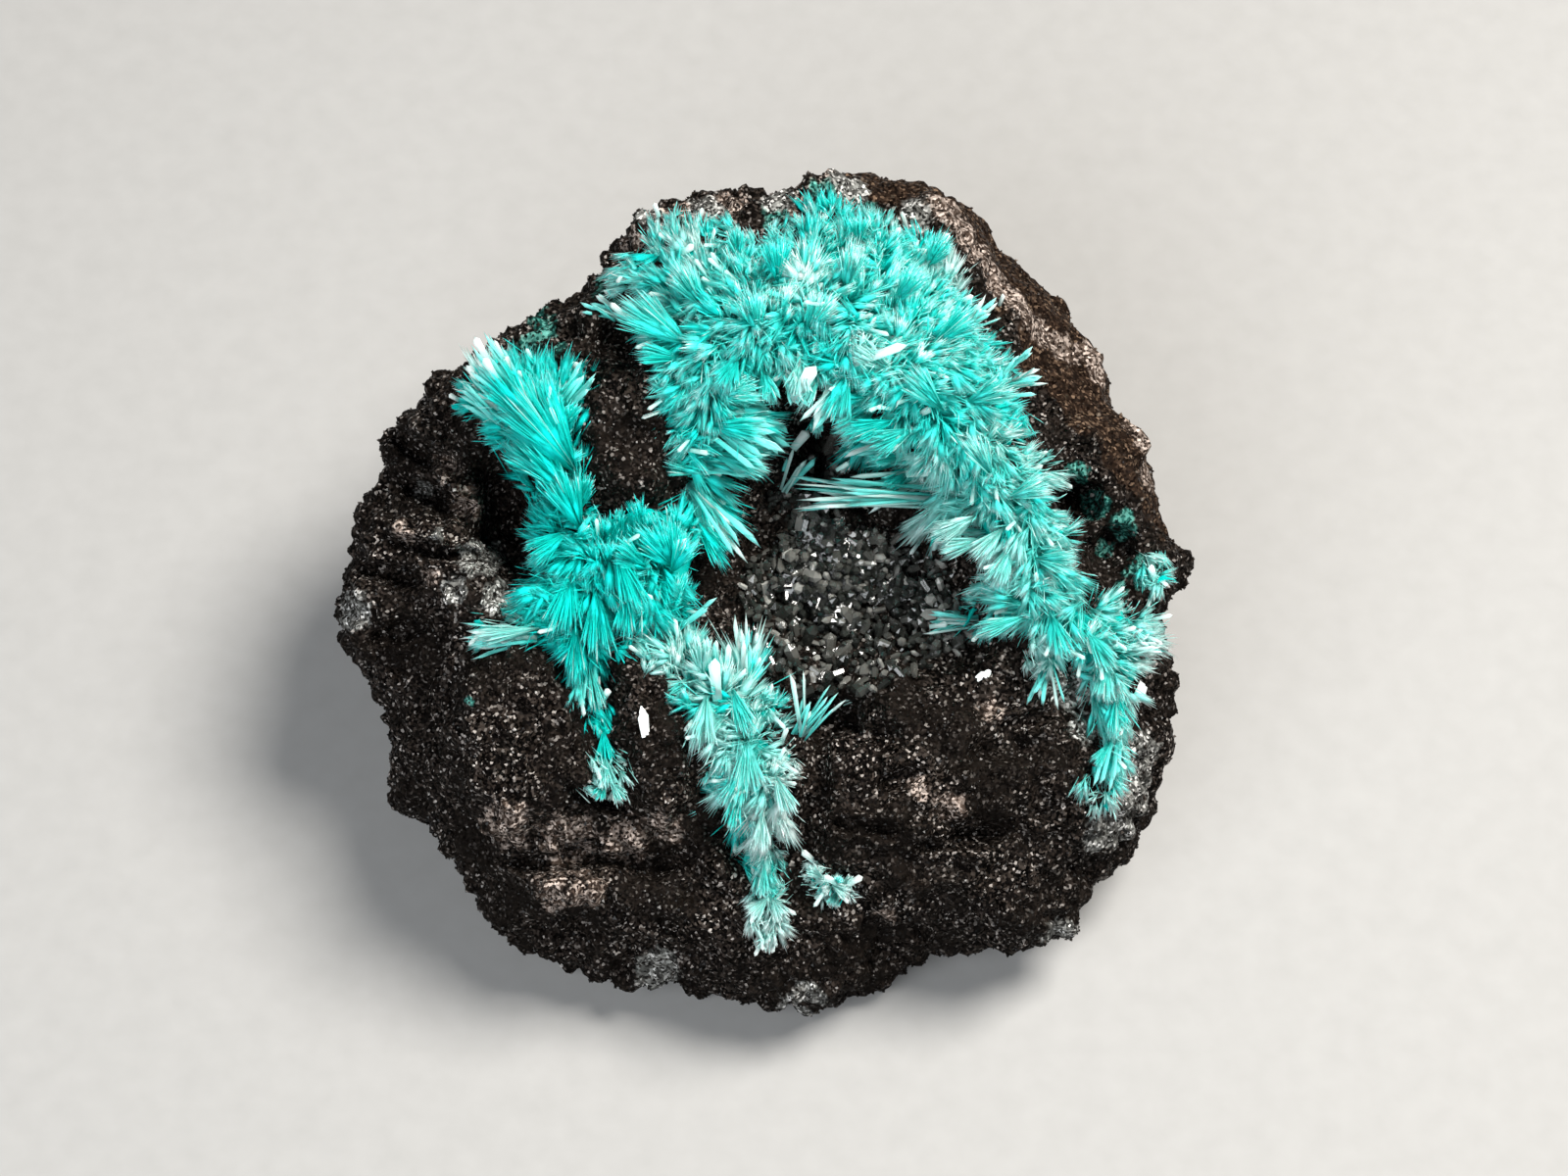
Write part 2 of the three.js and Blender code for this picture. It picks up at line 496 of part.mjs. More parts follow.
// What sits on the rock is cut by it, and by the pieces made before, with a clearance.
let taken = standing(grown(rockFace, GAP));
for (const [name, growth] of Object.entries(crusts)) {
  specimen.add(piece(name, crust(growth).subtract(taken), 'aurichalcite'));
  taken = taken.add(crust(growth, GAP));
}
specimen.add(piece('cavity_druse', druse().subtract(taken), 'druse'));
for (const [name, row] of Object.entries(PALE_CRYSTALS)) {
  specimen.add(piece(name, paleCrystal(row).subtract(taken), 'pale_crystal'));
}

export default specimen;
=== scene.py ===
# Aurichalcite on gossan: the looks of a chip of dark iron oxide rock with feathery turquoise crusts.
#
# Shapes are worked out in the face frame, in millimetres: x to the right, y up the broken face, z out of it.
# to_row() turns them into metres in the frame of the solids. The tables say which way a crystal points by
# its turn on the face, anticlockwise from x, and its lift out of the face, both in degrees.

import math

import bpy
import numpy as np
from mathutils import Matrix, Vector, noise
from mathutils.bvhtree import BVHTree


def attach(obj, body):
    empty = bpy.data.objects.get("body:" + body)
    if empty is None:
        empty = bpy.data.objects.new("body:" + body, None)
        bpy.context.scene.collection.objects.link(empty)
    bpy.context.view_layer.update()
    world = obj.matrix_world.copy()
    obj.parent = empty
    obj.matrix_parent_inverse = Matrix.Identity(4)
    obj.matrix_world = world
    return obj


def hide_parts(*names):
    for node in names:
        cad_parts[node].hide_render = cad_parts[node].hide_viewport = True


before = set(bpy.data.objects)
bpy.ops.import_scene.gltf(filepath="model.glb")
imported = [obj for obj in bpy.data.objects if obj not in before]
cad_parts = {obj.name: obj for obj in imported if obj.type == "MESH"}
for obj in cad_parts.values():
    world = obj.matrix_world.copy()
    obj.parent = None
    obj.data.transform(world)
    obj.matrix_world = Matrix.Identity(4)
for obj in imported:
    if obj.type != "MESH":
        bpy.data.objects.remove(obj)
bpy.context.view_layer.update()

MM = 0.001
FACE_LEAN = math.radians(30)
FACE_ORIGIN = np.array([0.0, -4.0, 17.0])
FACE_AXES = np.array(Matrix.Rotation(FACE_LEAN, 3, "X"))

# Tufts of each crust: x, y, radius, turn and lift of its crystals, and their length.
TUFTS = {
    "upper_crust": [
        (-4, 18, 1.2, 115, 40, 2), (-1.8, 17.5, 1.4, 95, 50, 1.7), (0.8, 17.4, 1.4, 90, 55, 1.7),
        (3.5, 18.7, 1.3, 95, 40, 2), (5.8, 18, 1.4, 80, 45, 2.2), (8, 17.1, 1.2, 60, 40, 2),
        (9.5, 16, 1, 45, 35, 2), (-5.7, 16, 1.2, 165, 30, 2.2), (-3.5, 15.5, 1.6, 150, 50, 2.6),
        (-1, 15.2, 1.7, 110, 60, 2.6), (1.5, 15.2, 1.7, 80, 65, 2.6), (4, 15.7, 1.7, 80, 60, 2.6),
        (6.8, 15.2, 1.7, 60, 55, 2.6), (9.2, 14, 1.4, 35, 45, 2.4), (11, 12.9, 1, 30, 30, 2),
        (-4, 13.2, 1.4, 190, 40, 2.4), (-1.8, 13, 1.7, 230, 60, 2.6), (1, 12.8, 1.7, 260, 60, 2.6),
        (3.8, 13, 1.8, 230, 65, 2.8), (6.5, 12.5, 1.8, 20, 65, 2.8), (9.2, 11.5, 1.6, 10, 55, 2.6),
        (11.8, 10.8, 1.2, 20, 35, 2.2), (-3.5, 10.8, 1.3, 200, 45, 2.4), (-1.5, 10.3, 1.5, 300, 50, 2.6),
        (5.5, 10.2, 1.3, 200, 45, 2.6), (7.8, 9.7, 1.6, 230, 55, 2.6), (10.3, 9, 1.7, 330, 55, 2.6),
        (12.8, 8.5, 1.2, 20, 35, 2.2), (-3, 8.5, 1.1, 205, 40, 2), (-1.2, 8.2, 1.3, 345, 28, 3.4),
        (6.8, 7.8, 1.2, 220, 40, 2.6), (9, 7.2, 1.4, 235, 50, 2.6), (-2.6, 6.6, 0.9, 350, 20, 3.4),
    ],
    "right_arm": [
        (11.5, 6, 1.6, 280, 60, 2.6), (13.8, 6, 1.4, 10, 45, 2.2), (10.3, 4.4, 1.1, 195, 22, 3.4),
        (12.8, 3.8, 1.5, 260, 55, 2.4), (14.8, 3.2, 1.1, 10, 35, 2), (13, 1.5, 1.4, 240, 45, 2.4),
        (15, 0.8, 1.3, 320, 40, 2.2), (13.2, -0.5, 1.2, 200, 30, 2.4), (11.5, -0.9, 0.8, 180, 15, 2.4),
        (15.5, -1.2, 1.3, 270, 40, 2.2), (14.5, -2.8, 0.8, 260, 30, 1.8), (17.8, -1.5, 1.2, 20, 35, 2.2),
        (17.8, -3.3, 1.3, 300, 40, 2.2), (19.4, -2.3, 1.3, 20, 25, 2), (18.2, -5.3, 1, 270, 30, 2),
        (18.3, -6.9, 0.9, 268, 20, 2), (18, -8.5, 0.8, 262, 20, 1.8), (17.5, -9.9, 1, 255, 20, 1.6),
    ],
    "left_fan": [
        (-12.5, 10.8, 1.2, 125, 25, 3), (-13.7, 9.8, 0.9, 145, 20, 2.4), (-10.5, 10.4, 1.2, 100, 35, 2.4),
        (-9.2, 10.4, 0.8, 50, 30, 2.2), (-12, 8.7, 1.1, 135, 30, 2.8), (-10.2, 8.5, 1.3, 105, 45, 2.6),
        (-11.1, 6.8, 1.1, 140, 35, 2.6), (-9.8, 6.5, 1.1, 90, 45, 2.4), (-10.1, 4.8, 1.2, 130, 40, 2.2),
        (-9, 4.5, 0.8, 30, 35, 1.4),
    ],
    "centre_fork": [
        (-9.8, 3, 1.3, 180, 40, 2), (-10, 1.2, 1.3, 235, 35, 2.2), (-7.8, 2.7, 1.3, 60, 50, 2),
        (-5.8, 3, 1.6, 80, 45, 1.5), (-4, 3.2, 1.2, 50, 40, 2), (-2.8, 4.6, 0.9, 300, 18, 4.2),
        (-7.5, 0.9, 1.5, 250, 45, 2.6), (-5.5, 0.4, 1.4, 280, 40, 2.6), (-4, -0.3, 1, 50, 25, 1.6),
        (-10, -0.5, 1.3, 190, 30, 2.4), (-12, -1.2, 0.8, 185, 15, 2.4), (-8.5, -2, 1.3, 255, 35, 2.4),
        (-6.5, -1.8, 1.1, 270, 35, 1.3), (-8.4, -4, 0.9, 265, 25, 1.8), (-7.8, -6.2, 0.8, 275, 20, 1.6),
        (-13.4, -1.6, 0.7, 182, 15, 1.4),
    ],
    "lower_vein": [
        (-4.8, -2.8, 0.9, 140, 35, 1.8), (-3.4, -3.2, 1.1, 100, 40, 2), (-2.7, -4.8, 1.2, 170, 40, 2.2),
        (-1.2, -4.3, 0.9, 86, 15, 3.6), (-1.2, -6.7, 1.4, 200, 40, 2.2), (0.5, -6.2, 1.1, 40, 40, 1.3),
        (-0.7, -8.9, 1.3, 230, 40, 2.2), (1, -8.7, 1.1, 330, 40, 1.5), (0.3, -11.2, 1.2, 265, 40, 2.2),
        (0.5, -13.2, 0.9, 270, 30, 1.8), (0.7, -15, 0.8, 265, 25, 1.4), (0.7, -16.6, 0.9, 265, 25, 1.4),
    ],
    "small_spray": [(2.2, -6.8, 0.8, 66, 22, 3)],
    "low_patch": [(3.3, -14.2, 0.7, 150, 25, 1.2), (4.3, -15, 0.8, 300, 25, 1.2)],
    "seam_patch": [(-7.4, -8.9, 1.1, 280, 30, 1.3)],
    "rim_tuft": [(20.4, 1.3, 0.8, 300, 30, 1.5)],
}

# Crystals on a crust, painted white as highlights of their flat faces: x and y of the middle, turn, lift,
# length, width.
HIGHLIGHT_BLADES = {
    "upper_crust": [
        (2.5, 10.75, 60, 20, 2.2, 0.8), (6.3, 12.2, 20, 15, 3, 0.55), (2.35, 8.1, 50, 20, 1.3, 0.6),
        (-2.75, 7.35, -10, 15, 1.1, 0.3), (4.1, 18.5, -40, 25, 1.4, 0.35), (-3.4, 17.6, 30, 25, 0.9, 0.45),
        (-1.8, 18, -15, 20, 1.1, 0.3), (2.1, 16.1, 15, 20, 1.2, 0.55), (3, 14.7, 0, 20, 1.3, 0.3),
        (-5, 19.8, 110, 20, 0.8, 0.3), (-7.2, 15.4, 150, 15, 1.2, 0.3), (-6.7, 14.3, 140, 15, 1.3, 0.35),
        (9.6, 18, 60, 30, 0.9, 0.35), (8.6, 9.4, 25, 20, 0.8, 0.4), (12.5, 7.8, 60, 25, 0.9, 0.4),
        (8.8, 6.4, 5, 15, 2.2, 0.55), (4.5, 6.7, 30, 15, 0.8, 0.3), (12.6, 15.2, 70, 25, 0.7, 0.25),
        (8.4, 17.4, 40, 20, 0.8, 0.3), (9.9, 16.6, 60, 20, 0.7, 0.3), (10.7, 15.1, 20, 20, 0.8, 0.3),
        (7.2, 18.4, 70, 20, 0.8, 0.3), (5.6, 14.1, 30, 20, 0.9, 0.3), (0.4, 14.6, 150, 20, 0.9, 0.35),
    ],
    "right_arm": [
        (9.4, -1.4, 10, 15, 1, 0.35), (12.8, -2.4, 30, 20, 1, 0.3), (15.6, -5.4, 60, 25, 0.8, 0.7),
        (20.3, 1.3, 110, 20, 0.9, 0.4), (17.5, -9.4, 80, 15, 1.7, 0.4), (17.2, -11, 74, 15, 1.3, 0.35),
        (18.9, -1.6, 15, 20, 0.9, 0.3), (14.2, 0.9, 100, 20, 0.9, 0.3),
    ],
    "left_fan": [
        (-13.6, 12.4, 120, 20, 1.6, 0.45), (-13.2, 11.5, 120, 20, 1.3, 0.45),
        (-14.2, 11.3, 120, 20, 1.1, 0.35), (-12.4, 11.8, 110, 25, 0.9, 0.4),
        (-9.1, 11.7, 80, 40, 0.7, 0.45), (-15.3, 10.2, 150, 10, 0.6, 0.3), (-9.8, 9.9, 120, 10, 0.6, 0.15),
    ],
    "centre_fork": [
        (-8.9, 3.8, -20, 15, 0.8, 0.3), (-11.9, -2, 170, 10, 1.1, 0.6), (-10.6, -2.6, 120, 15, 1, 0.35),
        (-7.4, -4.8, 60, 20, 0.6, 0.4),
    ],
    "lower_vein": [
        (-1.95, -4.1, 95, 20, 2.3, 0.7), (-1, -9.9, 80, 20, 0.9, 0.3), (1.2, -10.4, 100, 20, 1, 0.35),
        (0.3, -12.3, 60, 20, 0.9, 0.4), (1.5, -7, 70, 15, 1, 0.3),
    ],
    "low_patch": [
        (3.9, -14.3, 150, 20, 1, 0.4), (4.6, -15.3, 60, 20, 0.7, 0.3), (2.8, -13.2, 140, 15, 1.2, 0.4),
        (5.1, -14.3, 30, 15, 0.9, 0.4), (3.4, -15.2, 200, 15, 0.8, 0.35), (5, -15.6, 320, 15, 0.8, 0.35),
    ],
}

# Loose sprays: x, y, turn, lift and half spread, number of laths, length, width, share of pale ones.
SPRAYS = {
    "upper_crust": [
        (-3.4, 5.7, -54, 14, 16, 16, 5.2, 0.34, 0.35), (-2.2, 8.9, -20, 20, 22, 14, 4.2, 0.4, 0.1),
        (-3.1, 6.6, -4, 14, 8, 7, 4, 0.3, 0.05), (10, 5.2, 180, 15, 6, 18, 8.2, 0.24, 0.35),
        (7.6, 5.3, 178, 15, 9, 22, 5.8, 0.2, 0.3), (8.8, 6.3, 200, 16, 14, 8, 4.4, 0.32, 0.25),
        (1.4, 5.6, 60, 30, 10, 6, 2.6, 0.34, 0.3), (0.2, 9, -36, 12, 8, 4, 2.4, 0.4, 0.1),
        (7.4, 8, 188, 12, 12, 8, 3.4, 0.3, 0.4), (4.4, 11, 236, 22, 16, 10, 3.6, 0.3, 0.6),
        (1.4, 11.8, 300, 24, 18, 8, 2.8, 0.28, 0.3), (-7, 14.4, 150, 14, 22, 10, 2, 0.26, 0.3),
        (12.4, 10.6, 25, 22, 25, 12, 2.6, 0.28, 0.2), (10.6, 13.6, 45, 25, 25, 10, 2.4, 0.26, 0.25),
    ],
    "right_arm": [
        (11.4, -1.2, 184, 9, 12, 10, 2.9, 0.24, 0.5), (18.3, -7.2, 258, 12, 6, 5, 2.8, 0.3, 0.2),
        (19, -2.4, 12, 18, 30, 12, 1.8, 0.22, 0.8), (14.6, -3.4, 262, 14, 20, 8, 2.2, 0.24, 0.3),
    ],
    "left_fan": [
        (-11.6, 9.6, 128, 16, 14, 18, 4.4, 0.3, 0.15), (-9.8, 9.4, 48, 20, 9, 9, 2.9, 0.3, 0),
        (-12.6, 8.8, 142, 12, 10, 12, 3, 0.28, 0.2),
    ],
    "centre_fork": [
        (-3.9, -1.7, 36, 18, 4, 3, 3, 0.42, 0), (-5.4, -1.6, 58, 24, 5, 4, 3.4, 0.6, 0),
        (-11, -1.9, 187, 8, 14, 14, 3.8, 0.24, 0.5), (-8.5, -3.4, 268, 16, 10, 8, 2.4, 0.22, 0.1),
    ],
    "lower_vein": [
        (-0.6, -4.9, 90, 13, 8, 9, 4.1, 0.3, 0.55), (-1.9, -4.4, 96, 18, 10, 7, 2.8, 0.34, 0.6),
        (-4, -2.6, 118, 16, 20, 9, 2.4, 0.26, 0.2),
    ],
    "small_spray": [
        (2.2, -6.9, 95, 14, 3, 2, 3.4, 0.3, 1), (2.3, -7, 70, 16, 9, 5, 2.2, 0.24, 0.1),
        (2.4, -7, 50, 16, 7, 7, 3.4, 0.2, 0.2), (4.4, -5.3, 32, 14, 14, 6, 1.8, 0.18, 0.7),
    ],
}

# Broad silky feathers: x and y of the root, turn, lift and half spread, length.
FEATHERS = {
    "upper_crust": [
        (-3.2, 12.6, 146, 22, 19, 5), (-3.4, 12, 172, 18, 15, 3), (-2.4, 8.7, -6, 22, 15, 3.6),
        (-2.2, 7.4, -19, 20, 12, 3.6), (-2, 10, 12, 30, 18, 3.2), (-0.8, 12.2, 245, 40, 24, 3),
        (0.2, 13.2, 100, 42, 24, 3.2), (-2.6, 14.6, 125, 35, 22, 3.4), (2.6, 13.4, 60, 40, 22, 3.2),
        (1.2, 15.8, 95, 35, 24, 3), (4.6, 15.4, 75, 38, 24, 3.2), (7, 14.8, 50, 38, 22, 3.2),
        (9, 12.8, 35, 34, 20, 3.4), (7, 11.4, 150, 38, 20, 3.2), (9.6, 9.4, 135, 36, 18, 3.6),
        (10.6, 9.8, 20, 30, 20, 3.4), (8.2, 8.6, 205, 30, 18, 3.4), (6.2, 9.6, 215, 26, 18, 3.2),
        (8.4, 6.8, 212, 24, 15, 2.6), (3.4, 11.4, 235, 30, 18, 2.8), (-2.6, 6.2, 165, 20, 16, 2.4),
        (5.2, 17.8, 85, 30, 24, 2), (-0.8, 17, 95, 30, 24, 2), (8.6, 16.6, 55, 30, 20, 2.6),
        (4.8, 11.4, 248, 24, 20, 3.4), (2.4, 12.2, 262, 26, 20, 2.8), (0.4, 11.6, 285, 26, 18, 2.4),
        (7.2, 9, 198, 22, 16, 3.2), (7.8, 7.4, 192, 20, 15, 2.4), (3.2, 9.6, 265, 26, 20, 1.6),
    ],
    "right_arm": [
        (12, 6, 120, 36, 18, 3.4), (12.6, 5, 20, 30, 18, 3), (11.4, 4.2, 205, 22, 14, 3.4),
        (13, 2.8, 245, 30, 18, 3.2), (14, 2, 350, 30, 20, 2.8), (13.8, -0.9, 198, 16, 12, 3.4),
        (11.8, 3, 193, 16, 15, 3.2), (12.6, 3.6, 225, 24, 16, 3), (15, -0.8, 285, 26, 20, 3),
        (16.8, -1.6, 300, 22, 16, 3), (17.8, -3, 262, 22, 16, 2.8), (18.3, -5, 262, 16, 10, 2.4),
        (18.1, -7.2, 232, 14, 14, 1.8),
    ],
    "left_fan": [
        (-8.8, 6.2, 128, 20, 20, 6.6), (-9.6, 5.6, 146, 16, 15, 4.2), (-10.4, 7.6, 54, 22, 9, 3.4),
        (-10.4, 8, 98, 26, 17, 4), (-8.6, 3.2, 112, 22, 20, 4.2), (-10.8, 8.4, 130, 18, 17, 4.8),
        (-9, 4.2, 70, 24, 18, 2.6), (-9, 5, 132, 20, 18, 4.6),
    ],
    "centre_fork": [
        (-4, 1.5, 120, 34, 36, 3.6), (-4.2, 1.2, 60, 34, 22, 2.8), (-5.2, 1.4, 150, 36, 24, 3.2),
        (-7, 2.6, 291, 20, 13, 4.4), (-4.7, -1.7, 66, 22, 8, 3.8), (-9.2, 1.4, 262, 24, 20, 4.2),
        (-8, 0.6, 274, 24, 15, 4.4), (-9, -1.2, 272, 20, 13, 3.6), (-10.6, -1.5, 188, 14, 10, 3.8),
        (-9.4, 3.4, 215, 30, 20, 3.2), (-6.4, 0.8, 268, 26, 14, 3.6), (-3.2, 4.4, 305, 18, 12, 4),
        (-8.3, -3.4, 284, 16, 12, 2.8), (-8, -5.2, 290, 14, 15, 2.4), (-7.6, -6.6, 276, 14, 18, 2),
    ],
    "lower_vein": [
        (-3.2, -4, 135, 28, 20, 2.8), (-2.6, -4.2, 95, 26, 16, 2.8), (-1.4, -6, 215, 26, 18, 2),
        (0, -5.6, 45, 26, 18, 1.6), (-0.4, -8.4, 248, 26, 20, 3), (0.4, -10.6, 268, 22, 14, 2.8),
        (0.5, -13.4, 268, 16, 12, 2), (-2.4, -4.8, 262, 26, 18, 3.6), (-1.2, -4.4, 290, 26, 16, 3.4),
        (-0.4, -7, 272, 26, 20, 3.6), (-0.7, -9.4, 256, 22, 13, 2.8), (1, -8.8, 292, 20, 15, 2.8),
        (0.7, -15.2, 222, 14, 24, 1.6), (0.9, -15.2, 300, 14, 24, 1.5),
    ],
    "low_patch": [
        (3.5, -14.2, 145, 25, 25, 1.3), (3.9, -14.5, 330, 25, 25, 1.3), (4.2, -14.9, 250, 25, 25, 1.1),
        (4.4, -14.6, 30, 25, 25, 1), (3.9, -14.7, 200, 55, 35, 0.9), (4.1, -14.5, 60, 55, 35, 0.9),
    ],
    "seam_patch": [
        (-7.5, -7.9, 275, 14, 20, 2), (-7.2, -9.2, 305, 16, 24, 1.4), (-7.4, -9.2, 240, 14, 24, 1.2),
    ],
}

# How pale each crust is, from 0 for the silky middle of the fan to 1 for the frayed patches.
PALENESS = {
    "upper_crust": 0.05, "right_arm": 0.14, "left_fan": 0.0, "centre_fork": 0.0, "lower_vein": 0.32,
    "small_spray": 0.3, "low_patch": 1.0, "seam_patch": 0.3, "rim_tuft": 0.5,
}

# Places where a crust goes white, partly frayed pale fibres and partly painted highlights: x, y, radius.
PALE_SPOTS = [
    (10, 16.3, 0.9), (16, 6.5, 1), (12.5, 8, 0.7), (1.7, -8.6, 1.2), (1.6, -10.4, 1.2), (0.7, -16.4, 1.2),
    (-12.2, -2, 1.2), (-2.1, -2.4, 0.9), (2.2, 16, 0.8), (-3.2, 17.4, 0.8), (2.4, 10.6, 0.6),
    (5.8, 12.3, 0.7), (-6.8, 15, 0.8), (17.2, -10.4, 1), (19.9, -4.7, 0.8), (14.1, -3.2, 1.1),
    (9.5, 3.3, 1.2), (-13.6, 12, 1), (12, 2, 1.1), (-3.6, -3, 0.7), (0.8, -12.2, 0.8), (-8.2, -4.6, 0.5),
    (8.8, 6.4, 0.8), (20, -3, 1.1),
]

# Grey druse in the cavity: x, y, radius.
DRUSE_PATCHES = [
    (1.2, 0.6, 2), (3.4, 2.2, 2.2), (5.8, 1.2, 2.3), (8.2, 0.2, 2.1), (10, -1.2, 1.6), (2.6, -1.2, 1.8),
    (5.4, -1.4, 2), (7.6, -2.6, 1.5), (3.2, 4.6, 1.5), (5.5, -3.5, 1.4), (3, -3.6, 1.4), (1, -2.6, 1.2),
    (4.2, 7.3, 1.2), (3.2, 6.3, 1), (1.6, 5, 1),
]

# Single pale crystals: x, y, length, width, turn.
PALE_CRYSTALS = {
    "pale_blade_on_block": (-5.5, -6.1, 1.5, 0.5, 98),
    "pale_blade_on_right": (11.6, -4, 1.2, 0.5, 38),
    "pale_block_on_rim": (19.5, -4.7, 1.2, 1.1, 80),
}


UP = np.array([0.0, 0.0, 1.0])
DOWN = Vector((0, 0, -1))
ABOVE_ALL = 60  # millimetres over the face


def to_row(points):
    """From the face frame in millimetres to the row frame in metres."""
    return (np.asarray(points) @ FACE_AXES.T + FACE_ORIGIN) * MM


def to_face(points):
    """From the row frame in metres to the face frame in millimetres."""
    return (np.asarray(points) / MM - FACE_ORIGIN) @ FACE_AXES


def smooth_step(low, high, value):
    """0 up to the low value, 1 from the high one, and a smooth rise between them."""
    share = np.clip((value - low) / (high - low), 0, 1)
    return share * share * (3 - 2 * share)


def unit(vectors):
    return vectors / np.linalg.norm(vectors, axis=-1, keepdims=True)


def heading(turn, lift):
    """Unit vectors in the face frame from their turn on the face and their lift out of it, in radians."""
    return np.stack([np.cos(turn) * np.cos(lift), np.sin(turn) * np.cos(lift), np.sin(lift)], axis=-1)


def level_side(way):
    """The direction along the face that is square to a way."""
    return unit(np.cross(UP, way))


def rolled(ways, sides, roll):
    """Sides turned about their ways."""
    return sides * np.cos(roll) + np.cross(ways, sides) * np.sin(roll)


def add_object(name, data):
    thing = bpy.data.objects.new(name, data)
    bpy.context.scene.collection.objects.link(thing)
    return thing


def mesh_object(name, points, triangles, values, smooth):
    """A mesh from points in the face frame, with named values on its points for the materials."""
    mesh = bpy.data.meshes.new(name)
    mesh.from_pydata(to_row(points).tolist(), [], np.asarray(triangles).tolist())
    for key, value in values.items():
        mesh.attributes.new(key, "FLOAT", "POINT").data.foreach_set("value", value.astype(np.float32))
    mesh.polygons.foreach_set("use_smooth", np.full(len(mesh.polygons), smooth))
    mesh.update()
    return add_object(name, mesh)


def evenly_meshed(node, voxel, rounds):
    """The points, in the face frame, and triangles of a solid after an even remesh and smoothing."""
    work = add_object("work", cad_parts[node].data.copy())
    remesh = work.modifiers.new("even", "REMESH")
    remesh.mode = "VOXEL"
    remesh.voxel_size = voxel * MM
    soften = work.modifiers.new("soften", "SMOOTH")
    soften.iterations = rounds
    work.modifiers.new("triangles", "TRIANGULATE")
    shaped = work.evaluated_get(bpy.context.evaluated_depsgraph_get()).to_mesh()
    points = np.zeros(len(shaped.vertices) * 3)
    shaped.vertices.foreach_get("co", points)
    triangles = np.zeros(len(shaped.polygons) * 3, dtype=np.int64)
    shaped.loops.foreach_get("vertex_index", triangles)
    bpy.data.objects.remove(work)
    return to_face(points.reshape(-1, 3)), triangles.reshape(-1, 3)


def area_vectors(points, triangles):
    """Vectors square to the triangles, as long as twice their areas."""
    corners = points[triangles]
    return np.cross(corners[:, 1] - corners[:, 0], corners[:, 2] - corners[:, 0])


def point_normals(points, triangles):
    faces = area_vectors(points, triangles)
    normals = np.zeros_like(points)
    for corner in range(3):
        np.add.at(normals, triangles[:, corner], faces)
    return normals / np.maximum(np.linalg.norm(normals, axis=1, keepdims=True), 1e-12)


def surface_tree(points, triangles):
    return BVHTree.FromPolygons(points.tolist(), triangles.tolist())


def joined(parts):
    """Several sets of points and triangles as one."""
    starts = np.cumsum([0] + [len(points) for points, _ in parts[:-1]])
    points = np.concatenate([points for points, _ in parts])
    triangles = np.concatenate([triangles + start for (_, triangles), start in zip(parts, starts)])
    return points, triangles


def repeated(faces, size, count):
    """The triangles of one small piece of a size in points, for each of many such pieces."""
    return (np.array(faces)[None] + size * np.arange(count)[:, None, None]).reshape(-1, 3)


def drop_on(trees, x, y):
    """The highest of some surfaces under a point of the face, and its normal."""
    best = None
    for tree in trees:
        hit, normal, _, _ = tree.ray_cast(Vector((x, y, ABOVE_ALL)), DOWN)
        if hit is not None and (best is None or hit.z > best[0]):
            best = (hit.z, np.array(normal))
    return best or (0.0, UP)


# The rock

ROCK_VOXEL = 0.28
ROCK_SOFTENING = 6
LUMP_SIZE, LUMP_RISE, LUMP_OCTAVES = 2.4, 0.55, 3
BLOCK_SIZE, BLOCK_RISE, BLOCK_STEEPNESS, BLOCK_MIDDLE = 1.7, 0.54, 2.2, 0.6
GRAIN_SIZE, GRAIN_RISE, GRAIN_MIDDLE = 0.6, 0.34, 0.45
FACING = (-0.2, 0.3)  # z of the normals where relief and stains start, and where they are whole
BASE_BAND = 0.02  # points this close to the flat base stay on it
SKIN_CALM = 0.6  # how far the skin evens out blocks and grains

